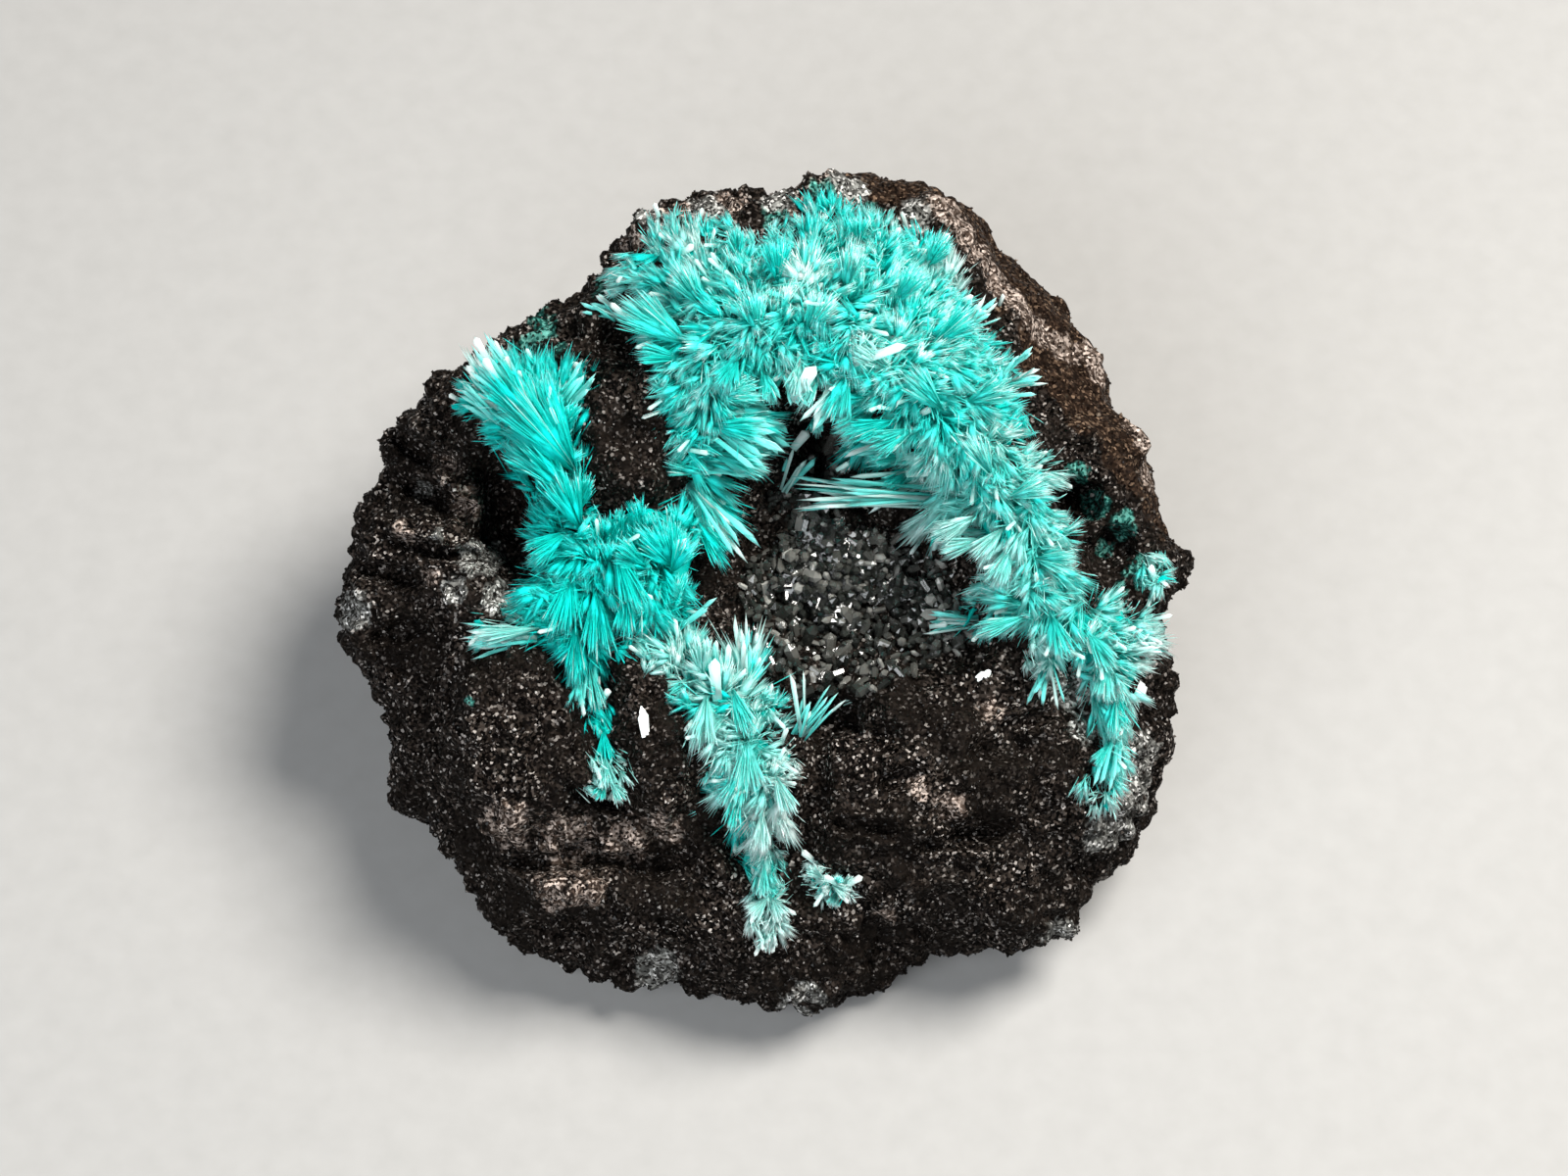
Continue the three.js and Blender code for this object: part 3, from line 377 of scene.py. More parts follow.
# Relief finer than the solid's: x, y, half width, half height, turn in degrees, rise, softness of the edge.
ROCK_RELIEF = [
    (4, 7.6, 1.4, 1.2, -15, -1.6, 0.4), (3.8, -6.2, 1.7, 1.1, 15, -2.4, 0.4), (16.5, 5, 1, 1, 0, -2, 0.35),
    (18.3, 2.7, 1.2, 0.8, 20, -1.8, 0.35), (-12.9, 3.9, 1.1, 2.6, 12, -2.8, 0.35),
    (12.7, -7.6, 1.6, 0.7, 8, -1.1, 0.4), (-7.7, -10.2, 1.4, 0.5, -20, -1.4, 0.4),
    (18.4, -7.2, 0.9, 1, 0, -1.2, 0.4), (6.6, -7, 0.9, 0.7, 0, -0.9, 0.4),
    (-16.6, 5.1, 2.2, 0.55, -24, -2.2, 0.35), (-17.2, 7.6, 2.4, 0.6, -30, -2, 0.35),
    (-15.8, 2.4, 2.6, 0.5, -12, -1.9, 0.35), (-3.3, -7.4, 0.7, 0.5, 0, -0.8, 0.4),
    (10.5, -12.4, 2.4, 0.5, 8, -1.6, 0.4), (5.5, -11.6, 1.8, 0.45, -6, -1.4, 0.4),
    (-6.5, 13.3, 1.7, 1.2, 20, -2.2, 0.35), (-6.4, 8.6, 2.1, 3.2, 8, 0.7, 0.2),
    (-11.4, -7, 3.6, 4.3, 4, 0.8, 0.12), (-5.4, -7.4, 2.1, 4, 8, 0.8, 0.15),
    (3, -10.6, 0.7, 3, -8, -1.5, 0.4), (-17.6, 8.6, 1.6, 0.8, -30, 0.7, 0.3),
    (-15.5, 6.2, 1.5, 0.7, -25, 0.7, 0.3), (-14.9, 3.8, 1.1, 0.6, -15, 0.6, 0.3),
    (-17.2, 3.4, 1.6, 0.8, -10, 0.6, 0.3), (-9.4, -14.9, 1.9, 0.8, 4, 0.7, 0.3),
    (9.6, -13.4, 3.4, 1.2, 10, 0.6, 0.3), (11.8, -9.4, 2.6, 1.4, 12, 0.5, 0.3),
    (-10.2, -13.4, 2.6, 0.45, 6, -1.5, 0.35), (-5.8, -13.6, 1.8, 0.4, -8, -1.3, 0.35),
    (13.8, -6.2, 1.5, 0.5, 15, -1.3, 0.4), (-18.6, 1.2, 1.8, 0.5, -8, -1.6, 0.35),
    (7.4, -9.2, 1.1, 0.5, 20, -1.2, 0.4), (-18.2, -1.8, 1.6, 0.5, 20, -1.4, 0.35),
]


def relief_at(points):
    rise = np.zeros(len(points))
    for x, y, wide, high, turn, height, soft in ROCK_RELIEF:
        angle = math.radians(turn)
        dx, dy = points[:, 0] - x, points[:, 1] - y
        across = (dx * math.cos(angle) + dy * math.sin(angle)) / wide
        along = (dy * math.cos(angle) - dx * math.sin(angle)) / high
        rise += height * (1 - smooth_step(1 - soft, 1 + soft, np.hypot(across, along)))
    return rise


SKIN_EDGE_Y = [3.5, 5.5, 8.5, 11.5, 16, 19.75, 21]
SKIN_EDGE_X = [20.5, 19, 16.5, 13.5, 12, 9.5, 4]
SKIN_FADE = (-0.5, 1.1)  # across its edge
SKIN_FOOT = (1, 5)  # y where it starts, and where it is whole
SKIN_BENDS, SKIN_WANDER = 1.7, 1.2  # size of the bends in its edge, and how far they swing
BACK_FACING = (0.1, 0.7)
BACK_DEPTHS = (-4, -9)
BACK_WANDER, BACK_SHARE = 0.3, 0.8


def skin_share(points, normals):
    """How far the brown weathered skin covers the rock: on the upper right, and over the back."""
    beyond = points[:, 0] - np.interp(points[:, 1], SKIN_EDGE_Y, SKIN_EDGE_X)
    wander = np.array([noise.noise(Vector(p / SKIN_BENDS)) for p in points])
    upper_right = smooth_step(*SKIN_FADE, beyond + SKIN_WANDER * wander)
    upper_right *= smooth_step(*SKIN_FOOT, points[:, 1])
    behind = smooth_step(*BACK_FACING, -normals[:, 2] + BACK_WANDER * wander)
    behind *= smooth_step(*BACK_DEPTHS, points[:, 2])
    return np.clip(upper_right + BACK_SHARE * behind, 0, 1)


RIDGE = [(9.6, 20.2), (11.4, 17.8), (13.4, 15), (15.2, 13.4), (17.4, 12.6), (18.8, 11), (20, 8.6), (20.8, 6)]
RIDGE_FADE = (0.165, 1.21)  # away from its line
RIDGE_STRENGTH = 0.75


def ridge_share(points):
    """How near the points lie to the pale ridge along the edge of the skin."""
    corners = np.array(RIDGE)
    places = points[:, :2]
    share = np.zeros(len(points))
    for start, end in zip(corners[:-1], corners[1:]):
        step = end - start
        reach = np.clip(((places - start) @ step) / (step @ step), 0, 1)
        away = np.linalg.norm(places - start - reach[:, None] * step, axis=1)
        share = np.maximum(share, 1 - smooth_step(*RIDGE_FADE, away))
    return share


# Patches of other colours on the rock: x, y, radius.
STAINS = {
    "tan": [
        (-12.5, -11.5, 1.8), (-9.5, -12.3, 2), (-6.5, -12.5, 1.6), (-4.5, -11.8, 1.2), (-10.3, -15, 1.3),
        (-8.4, -14.8, 1.3), (-16, 6.6, 1), (-14.8, 4.9, 1.1), (-4, 20, 1.3), (-1.5, 20.2, 1.4),
        (1.5, 20.6, 1.3), (4, 21, 1.2), (8.3, -9.6, 0.8), (9.8, -10.5, 1.1), (12, -5.6, 0.8),
        (6.7, -16.2, 0.7), (-6.6, 18.6, 1), (-18, 3.4, 0.7), (-16.5, 1, 0.8),
    ],
    # Pale patches; the two at (-14, 2) and (-12.8, 0), on a lump, are painted glints.
    "frost_and_glint": [
        (19.7, -8, 1.3), (19.4, -10, 1.4), (18.6, -11.8, 1.3), (16.2, -4.6, 1.2), (16.8, -6.6, 0.9),
        (17.6, -12.2, 1), (-20.8, -0.6, 1.3), (-14, 2, 1.2), (-12.8, 0, 1.1), (-16.2, 3.4, 0.7),
        (-15.2, 0.4, 0.8), (-5, -19.5, 1.4), (2.5, -21.2, 1.5), (15.8, -17.8, 1.3), (14.8, -4.3, 0.8),
        (-17.6, 5.6, 0.6), (-2.5, 20, 1.1), (1.2, 20.6, 1.1), (4.8, 20.9, 1.3), (8.2, 19.6, 1),
        (-5.2, 19.4, 0.8),
    ],
    "green": [
        (-8, 15.8, 0.6), (-7, 15, 0.5), (-9.5, 16.5, 0.4), (-14.2, -5.2, 0.35), (-15.2, 2.5, 0.3),
        (17.5, 4.8, 0.8), (19, 3.7, 0.8), (19.8, 1.5, 1), (16.6, 6.4, 0.6), (18, 2.6, 0.6),
        (18.6, 0.6, 0.5), (-11.5, 12.8, 0.9), (-10, 12.6, 0.6), (3.6, 20.4, 1), (6, 19.8, 0.8),
        (1, 19.4, 0.8), (-10.8, 14, 0.8),
    ],
}
STAIN_STRENGTH = {"tan": 0.6, "frost_and_glint": 0.85, "green": 0.75}
STAIN_FADE = (0.4, 1.4)  # over the radius of the patch
STAIN_DEPTHS = (-9, -4.5)  # where the stains end and where they are whole, out of the face


def stained(points, patches):
    """How far some patches reach at each point, from 1 in their middles to 0."""
    share = np.zeros(len(points))
    for x, y, radius in patches:
        away = np.hypot(points[:, 0] - x, points[:, 1] - y) / radius
        share = np.maximum(share, 1 - smooth_step(*STAIN_FADE, away))
    return share


def roughness_at(point):
    """Lumps, angular blocks and grains of the rock's surface, in millimetres."""
    place = Vector(point)
    lumps = noise.fractal(place / LUMP_SIZE, 1.0, 2.0, LUMP_OCTAVES)
    near, next_near = noise.voronoi(place / BLOCK_SIZE)[0][:2]
    grain = noise.voronoi(place / GRAIN_SIZE)[0][0]
    return (
        LUMP_RISE * lumps,
        BLOCK_RISE * (min(1.0, BLOCK_STEEPNESS * (next_near - near)) - BLOCK_MIDDLE),
        GRAIN_RISE * (GRAIN_MIDDLE - grain),
    )


def make_rock():
    """The rock, its points and triangles, and how far the skin covers it at each point."""
    points, triangles = evenly_meshed("gossan_matrix", ROCK_VOXEL, ROCK_SOFTENING)
    normals = point_normals(points, triangles)
    skin = skin_share(points, normals)
    lumps, blocks, grains = np.array([roughness_at(p) for p in points]).T
    calm = 1 - SKIN_CALM * skin
    shaped = points + normals * (lumps + blocks * calm + grains * calm)[:, None]
    on_face = smooth_step(*FACING, normals[:, 2])
    shaped[:, 2] += relief_at(points) * on_face
    row = to_row(shaped)
    row[:, 2] = np.maximum(row[:, 2], 0)
    row[to_row(points)[:, 2] < BASE_BAND * MM, 2] = 0
    shaped = to_face(row)
    seen = on_face * smooth_step(*STAIN_DEPTHS, points[:, 2])
    values = {name: STAIN_STRENGTH[name] * stained(points, STAINS[name]) * seen for name in STAINS}
    values["tan"] = np.maximum(values["tan"], RIDGE_STRENGTH * ridge_share(points) * seen)
    rock = mesh_object("gossan_rock", shaped, triangles, {"skin": skin, **values}, smooth=True)
    return rock, shaped, triangles, skin


# Crystals and thin sheets

# Kinds of crystals: corners of the section, its width at the foot over that at the shoulder, and the share
# of the length where the point starts.
NEEDLE = (3, 0.35, 0.84)
LATH = (4, 0.75, 0.84)
BLADE = (6, 0.75, 0.84)
DRUSE_CRYSTAL = (6, 0.9, 0.72)
PALE_BLADE = (6, 0.9, 0.8)


def crystal_mesh(kind, roots, ways, sides, lengths, widths, thickness, tips):
    """Points, triangles, share of the length at each point, and points per crystal, of many made at once."""
    corners, foot, shoulder = kind
    count = len(roots)
    turn = (np.arange(corners) + 0.5) * 2 * math.pi / corners
    section = np.stack([np.cos(turn), np.sin(turn)], axis=1) * 0.5
    offset = (
        sides[:, None, :] * section[None, :, :1] * widths[:, None, None]
        + np.cross(ways, sides)[:, None, :] * section[None, :, 1:] * thickness[:, None, None]
    )
    shoulders = roots + ways * (lengths * shoulder)[:, None]
    ends = roots + ways * lengths[:, None] + sides * (tips * widths)[:, None]
    rings = roots[:, None] + offset * foot, shoulders[:, None] + offset
    points = np.concatenate([*rings, ends[:, None]], axis=1)
    faces = []
    for k in range(corners):
        after = (k + 1) % corners
        faces += [(k, after, corners + after), (k, corners + after, corners + k)]
        faces.append((corners + k, corners + after, 2 * corners))
    faces += [(0, k + 1, k) for k in range(1, corners - 1)]
    size = 2 * corners + 1
    along = np.tile(np.array([0.0] * corners + [shoulder] * corners + [1.0]), count)
    return points.reshape(-1, 3), repeated(faces, size, count), along, size


LOBE_STRIPS = 6  # fibres across a sheet that show as ribs and teeth
FEATHER_STRIPS = 9
SHEET_MIDDLE = 0.5  # rings of points across a sheet, as shares of its length
SHEET_EDGE = 0.74
EDGE_ROUNDNESS = 0.22
EDGE_WANDER = (0.94, 1.03)
TOOTH_LENGTHS = (0.82, 1.1)
SHEET_THICKNESS = 0.07  # this one and the next two are over the sheet's length
SHEET_DROOP = 0.08
SHEET_CUP = 0.1
SHEET_RIB = 0.014  # in millimetres


def sheet_faces(strips):
    """Triangles of one sheet: root, middle ring, edge ring, then the teeth."""
    middle, edge, teeth = 1, strips + 2, 2 * strips + 3
    faces = []
    for k in range(strips):
        m, e, t = middle + k, edge + k, teeth + k
        faces += [(0, m, m + 1), (m, e, e + 1), (m, e + 1, m + 1), (e, t, e + 1), (0, t, e), (0, e + 1, t)]
    return faces + [(0, edge, middle), (0, middle + strips, edge + strips)]


def sheet_mesh(roots, ways, sides, lengths, half_angles, strips, dice):
    """Many thin closed sheets of fused fibres at once: ribbed sectors, toothed and arched outwards."""
    count = len(roots)
    ups = np.cross(ways, sides)
    knots = np.tile(np.linspace(-1, 1, strips + 1), (count, 1))
    between = (knots[:, 1:] + knots[:, :-1]) / 2

    def spread(share, across, lift=0.0):
        turn = (across * half_angles[:, None])[..., None]
        flat = ways[:, None] * np.cos(turn) + sides[:, None] * np.sin(turn)
        rise = lift - SHEET_DROOP * share ** 2 - SHEET_CUP * across ** 2 * share
        bent = flat * share[..., None] + ups[:, None] * rise[..., None]
        return roots[:, None] + bent * lengths[:, None, None]

    ribs = dice.normal(0, SHEET_RIB, knots.shape) / lengths[:, None]
    crown = SHEET_THICKNESS * (1 - 0.8 * knots ** 2) + ribs
    middle = spread(np.full(knots.shape, SHEET_MIDDLE), knots, crown)
    rounded = SHEET_EDGE * (1 - EDGE_ROUNDNESS * knots ** 2)
    edge = spread(rounded * dice.uniform(*EDGE_WANDER, knots.shape), knots)
    rounded = 1 - EDGE_ROUNDNESS * between ** 2
    teeth = spread(rounded * dice.uniform(*TOOTH_LENGTHS, between.shape), between)
    points = np.concatenate([roots[:, None], middle, edge, teeth], axis=1)
    size = points.shape[1]
    along = np.array([0.0] + [SHEET_MIDDLE] * (strips + 1) + [SHEET_EDGE] * (strips + 1) + [1.0] * strips)
    turn = np.concatenate([np.zeros((count, 1)), knots, knots, between], axis=1) * half_angles[:, None]
    across = (turn * lengths[:, None]).ravel()
    triangles = repeated(sheet_faces(strips), size, count)
    return points.reshape(-1, 3), triangles, np.tile(along, count), across, size


TRIES = 60  # for each square of the spacing


def scattered(discs, spacing, dice):
    """Points spread over some discs, no closer than a spacing."""
    table = np.array(discs, dtype=float)[:, :3]
    area = (table[:, 2] ** 2).sum()
    tries = int(TRIES * area / spacing ** 2)
    picked = dice.choice(len(table), tries, p=table[:, 2] ** 2 / area)
    turn = dice.uniform(0, 2 * math.pi, tries)
    out = table[picked, 2] * np.sqrt(dice.uniform(0, 1, tries))
    spots = table[picked, :2] + np.stack([np.cos(turn), np.sin(turn)], axis=1) * out[:, None]
    kept = np.empty((0, 2))
    for spot in spots:
        if len(kept) == 0 or np.min(np.hypot(*(kept - spot).T)) > spacing:
            kept = np.vstack([kept, spot])
    return kept


class Growth:
    """Gathers the meshes of one growth with the values that its material reads."""

    def __init__(self):
        self.parts = []
        self.values = {"along": [], "across": [], "pale": [], "tint": []}

    def add(self, points, triangles, **values):
        self.parts.append((points, triangles))
        for key, rows in self.values.items():
            rows.append(np.broadcast_to(values.get(key, 0.0), len(points)))

    def add_crystals(self, kind, roots, *shape, starts=0.0, **values):
        """Adds crystals with a value of each kind; starts is how far along their feather they begin."""
        points, triangles, along, size = crystal_mesh(kind, roots, *shape)
        count = len(roots)
        spread = {key: np.repeat(np.broadcast_to(value, count), size) for key, value in values.items()}
        begin = np.repeat(np.broadcast_to(starts, count), size)
        self.add(points, triangles, along=begin + along * (1 - begin), **spread)

    def tree(self):
        return surface_tree(*joined(self.parts))

    def piece(self, name, smooth):
        values = {key: np.concatenate(rows) for key, rows in self.values.items()}
        return mesh_object(name, *joined(self.parts), values, smooth)


# The crusts

WITHOUT_CUSHION = {"small_spray"}
CLOSE_GROWN = {"lower_vein", "low_patch", "rim_tuft"}
CUSHION_VOXEL = 0.4
CUSHION_SOFTENING = 24
CUSHION_SUNK = 0.3
# A low tint that paints the cushion dark: painted shade between the lobes.
CUSHION_SHADE_TINT = -1.2
PALE_RANGE = (0, 1.6)  # over the crust's own paleness
SPOT_PALENESS = 0.5

LOBE_SPACING = 0.64
CLOSE_LOBE_SPACING = 0.5
LOBE_LENGTHS = (0.55, 1.15)  # over the length of its tuft
LOBE_LIFT_SHARE = 0.42  # its lift over that of its tuft
LOBE_TURN_SPREAD = math.radians(32)
LOBE_LIFT_SPREAD = math.radians(8)
LOBE_SUNK = 0.25
LOBE_SET_BACK = 0.3  # over its length
TUFT_REACH = 2.2  # how fast a tuft's sway over the lobes around it fades

SHEETS_IN_LOBE = 7
SHEETS_IN_FEATHER = 12
SHEET_HALF_ANGLE = math.radians(9.5)
SHEET_TURN_SPREAD = math.radians(20)
SHEET_LIFTS = np.radians(np.linspace(-8, 26, SHEETS_IN_LOBE))
SHEET_STACK = 0.08  # how far one sheet's root lies above the one under it
SHEET_ROLL_SPREAD = 0.35
SHEET_TINT_SPREAD = 0.2

NEEDLES_IN_LOBE = 13
NEEDLES_IN_FEATHER = 40
NEEDLE_WIDTH = 0.06
NEEDLE_WIDTHS = (0.7, 1.5)  # over the width above
NEEDLE_TURN_SPREAD = math.radians(22)
NEEDLE_ROLL_SPREAD = 0.5
NEEDLE_TINT_SPREAD = 0.35
WHITE_NEEDLES = 0.05  # share of needles that are white

FEATHER_RAISED = 0.45
FEATHER_DEPTH = 0.25  # height of the roots' cluster
SPRAY_THICKNESS = 0.6  # this one and the next are over the width
BLADE_THICKNESS = 0.35
SPRAY_RAISED = 0.35
BARE_SPRAY_RAISED = 0.05
BLADE_SUNK = 0.12
# The specks are white blades near the lobes' tips: painted glints.
SPECK_SHARE = 0.2  # share of lobes with a pale speck
SPECK_LENGTHS = (0.5, 1.1)
SPECK_WIDTH = 0.25
SPECK_LIFT = 15
TIP_LEAN = 0.3  # how far a crystal's tip may lie off its middle, over its width
FIBRE_PLACES = 9  # range of the places that single crystals take in the pattern of the fibres


def paleness_at(name, spots, dice):
    """How pale the crystals are at some spots of a crust."""
    own = PALENESS[name] * dice.uniform(*PALE_RANGE, len(spots))
    return own + SPOT_PALENESS * stained(spots, PALE_SPOTS)


def blended_tuft(tufts, x, y):
    """Turn, lift and length at a point, from the tufts around it."""
    table = np.array(tufts, dtype=float)
    away = np.hypot(table[:, 0] - x, table[:, 1] - y) / table[:, 2]
    weight = np.exp(-TUFT_REACH * away ** 2)
    weight /= weight.sum() + 1e-12
    ways = heading(np.radians(table[:, 3]), np.radians(table[:, 4]))
    mean = unit((ways * weight[:, None]).sum(axis=0))
    return math.atan2(mean[1], mean[0]), math.asin(mean[2]), float((table[:, 5] * weight).sum())


def frames(turns, lifts, rolls):
    """Ways with the given turns and lifts, and their sides, rolled about them."""
    ways = heading(turns, lifts)
    flat = np.stack([-np.sin(turns), np.cos(turns), np.zeros(len(turns))], axis=1)
    return ways, rolled(ways, flat, rolls[:, None])


def lobe(root, turn, lift, length, dice):
    """The sheets and the needles of one lobe: overlapping feathers about a heading, stacked upwards."""
    count = SHEETS_IN_LOBE
    level = np.arange(count) / count
    turns = turn + dice.normal(0, SHEET_TURN_SPREAD, count)
    ways, sides = frames(turns, lift + SHEET_LIFTS, dice.normal(0, SHEET_ROLL_SPREAD, count))
    lengths = length * (1.05 - 0.25 * level) * dice.uniform(0.85, 1.1, count)
    half_angles = SHEET_HALF_ANGLE * dice.uniform(0.6, 1.25, count)
    rise = SHEET_STACK * UP * np.arange(count)[:, None]
    sheets = root + rise + ways * dice.uniform(-0.15, 0.1, (count, 1)), ways, sides, lengths, half_angles

    count = NEEDLES_IN_LOBE
    turns = turn + dice.normal(0, NEEDLE_TURN_SPREAD, count)
    lifts, rolls = lift + dice.uniform(-0.1, 0.5, count), dice.normal(0, NEEDLE_ROLL_SPREAD, count)
    ways, sides = frames(turns, lifts, rolls)
    lengths = length * dice.uniform(0.55, 1.0, count)
    starts = root + dice.normal(0, 0.2, (count, 3)) + UP * dice.uniform(0, 0.5, (count, 1))
    needles = starts, ways, sides, lengths, NEEDLE_WIDTH * dice.uniform(*NEEDLE_WIDTHS, count)
    return sheets, needles


def spray(root, way, half_spread, count, length, width, dice):
    """Separate laths that fan out from one root."""
    turn = np.linspace(-half_spread, half_spread, count) + dice.normal(0, half_spread / count, count)
    flat = level_side(way)
    up = np.cross(way, flat)
    tilt = dice.normal(0, 0.07, count)[:, None]
    swing = turn[:, None]
    ways = unit(way * np.cos(swing) + flat * np.sin(swing) + up * tilt)
    sides = unit(flat * np.cos(swing) - way * np.sin(swing))
    sides = rolled(ways, sides, dice.normal(0, 0.45, count)[:, None])
    lengths = length * dice.uniform(0.62, 1.05, count)
    widths = width * dice.uniform(0.6, 1.2, count)
    roots = root + flat * dice.normal(0, 0.25, count)[:, None]
    roots += up * dice.uniform(-0.1, 0.25, count)[:, None]
    return roots, ways, sides, lengths, widths


def add_sheets(growth, mesh, pales, tints, dice):
    """Sheets from sheet_mesh, each with its paleness and about its tint."""
    points, triangles, along, across, size = mesh
    tints = tints + dice.normal(0, SHEET_TINT_SPREAD, len(tints))
    pale, tint = np.repeat(pales, size), np.repeat(tints, size)
    growth.add(points, triangles, along=along, across=across, pale=pale, tint=tint)


def add_needles(growth, roots, ways, sides, lengths, widths, pales, tints, dice, starts=0.0):
    """Thin needles, a few of them white."""
    count = len(roots)
    tips = dice.uniform(-TIP_LEAN, TIP_LEAN, count)
    chosen = dice.uniform(0, 1, count) < WHITE_NEEDLES + 0.2 * pales
    white = np.where(chosen, dice.uniform(0.3, 0.9, count), 0)
    growth.add_crystals(
        NEEDLE, roots, ways, sides, lengths, widths, widths, tips, starts=starts,
        across=dice.uniform(0, FIBRE_PLACES, count), pale=np.clip(pales + white, 0, 1),
        tint=tints + dice.normal(0, NEEDLE_TINT_SPREAD, count),
    )


def stacked(rows):
    """The columns of some rows of arrays, each as one array."""
    return [np.concatenate(column) for column in zip(*rows)]


def add_lobes(growth, name, tufts, ground, dice):
    """Lobes of sheets and needles all over a crust; returns where their white specks, painted glints, may
    sit.
    """
    sheets, needles, glint_specks = [], [], []
    spots = scattered(tufts, CLOSE_LOBE_SPACING if name in CLOSE_GROWN else LOBE_SPACING, dice)
    tints = dice.normal(0, 0.3, len(spots))
    pales = paleness_at(name, spots, dice)
    for x, y in spots:
        turn, lift, length = blended_tuft(tufts, x, y)
        turn += dice.normal(0, LOBE_TURN_SPREAD)
        lift = np.clip(LOBE_LIFT_SHARE * lift + dice.normal(0, LOBE_LIFT_SPREAD), 0.02, 1.2)
        length *= dice.uniform(*LOBE_LENGTHS)
        z, _ = drop_on(ground, x, y)
        root = np.array([x, y, z - LOBE_SUNK]) - heading(turn, 0.0) * LOBE_SET_BACK * length
        of_sheets, of_needles = lobe(root, turn, lift, length, dice)
        sheets.append(of_sheets)
        needles.append(of_needles)
        # A white speck near the lobe's tip: a painted glint.
        if dice.uniform() < SPECK_SHARE:
            tip = np.array([x, y, 0]) + heading(turn, 0.0) * length * 0.5
            size = dice.uniform(*SPECK_LENGTHS), SPECK_WIDTH
            glint_specks.append((tip[0], tip[1], math.degrees(turn), SPECK_LIFT, *size))

    mesh = sheet_mesh(*stacked(sheets), LOBE_STRIPS, dice)
    add_sheets(growth, mesh, np.repeat(pales, SHEETS_IN_LOBE), np.repeat(tints, SHEETS_IN_LOBE), dice)
    pales, tints = np.repeat(pales, NEEDLES_IN_LOBE), np.repeat(tints, NEEDLES_IN_LOBE)
    add_needles(growth, *stacked(needles), pales, tints, dice)
    return glint_specks


def add_feathers(growth, name, ground, dice):
    """Broad feathers, each of a few large sheets that overlap and of needles that lie along them."""
    for x, y, *angles, length in FEATHERS.get(name, []):
        z, _ = drop_on(ground, x, y)
        turn, lift, half_spread = (math.radians(angle) for angle in angles)
        root = np.array([x, y, z + FEATHER_RAISED])
        count = SHEETS_IN_FEATHER
        offsets = half_spread * dice.uniform(-0.85, 0.85, count)
        lifts, rolls = lift + dice.uniform(-0.1, 0.2, count), dice.normal(0, 0.3, count)
        ways, sides = frames(turn + offsets, lifts, rolls)
        lengths = length * dice.uniform(0.6, 1.04, count) * (1 - 0.2 * (offsets / half_spread) ** 2)
        half_angles = half_spread * dice.uniform(0.25, 0.55, count)
        roots = root + FEATHER_DEPTH * UP * dice.uniform(0, 1, (count, 1))
        mesh = sheet_mesh(roots, ways, sides, lengths, half_angles, FEATHER_STRIPS, dice)
        middle = np.array([[x, y]]) + 0.6 * length * np.array([[math.cos(turn), math.sin(turn)]])
        shade, paleness = dice.normal(0, 0.35), 0.7 * paleness_at(name, middle, dice)[0]
        add_sheets(growth, mesh, np.full(count, paleness), np.full(count, shade), dice)

        count = NEEDLES_IN_FEATHER
        offsets = half_spread * dice.uniform(-1.15, 1.15, count)
        lifts, rolls = lift + dice.uniform(-0.02, 0.22, count), dice.normal(0, NEEDLE_ROLL_SPREAD, count)
        ways, sides = frames(turn + offsets, lifts, rolls)
        starts = dice.uniform(0, 0.6, count)
        lengths = length * (dice.uniform(0.7, 1.0, count) - starts)
        lengths *= 1 - 0.15 * (offsets / half_spread) ** 2
        roots = root + FEATHER_DEPTH * UP + ways * (length * starts)[:, None]
        widths = NEEDLE_WIDTH * dice.uniform(*NEEDLE_WIDTHS, count)
        pales, shades = np.full(count, paleness), np.full(count, shade)
        add_needles(growth, roots, ways, sides, lengths, widths, pales, shades, dice, starts)


def add_sprays(growth, rows, ground, raised, dice):
    for x, y, aim_turn, lift, half_spread, count, length, width, pale_share in rows:
        z, _ = drop_on(ground, x, y)
        way = heading(math.radians(aim_turn), math.radians(lift))
        root, half_spread = np.array([x, y, z + raised]), math.radians(half_spread)
        laths = spray(root, way, half_spread, count, length, width, dice)
        tips = dice.uniform(-TIP_LEAN, TIP_LEAN, count)
        pale = np.where(dice.uniform(0, 1, count) < pale_share, dice.uniform(0.6, 1, count), 0.15)
        growth.add_crystals(
            LATH, *laths, laths[-1] * SPRAY_THICKNESS, tips,
            across=dice.uniform(0, FIBRE_PLACES, count), pale=pale, tint=dice.normal(0, 0.5, count),
        )


def add_blades(growth, rows, ground, dice):
    for x, y, aim_turn, lift, length, width in rows:
        way = heading(math.radians(aim_turn), math.radians(lift))
        root = np.array([x, y, 0.0]) - way * length / 2
        root[2] = drop_on(ground, root[0], root[1])[0] - BLADE_SUNK
        side = rolled(way, level_side(way), dice.normal(0, 0.2))
        size = np.array([[length], [width], [width * BLADE_THICKNESS]])
        # pale=1.0 paints the whole blade white: a painted highlight.
        growth.add_crystals(
            BLADE, root[None], way[None], side[None], *size, dice.uniform(-0.2, 0.2, 1),
            across=dice.uniform(0, FIBRE_PLACES), pale=1.0,
        )


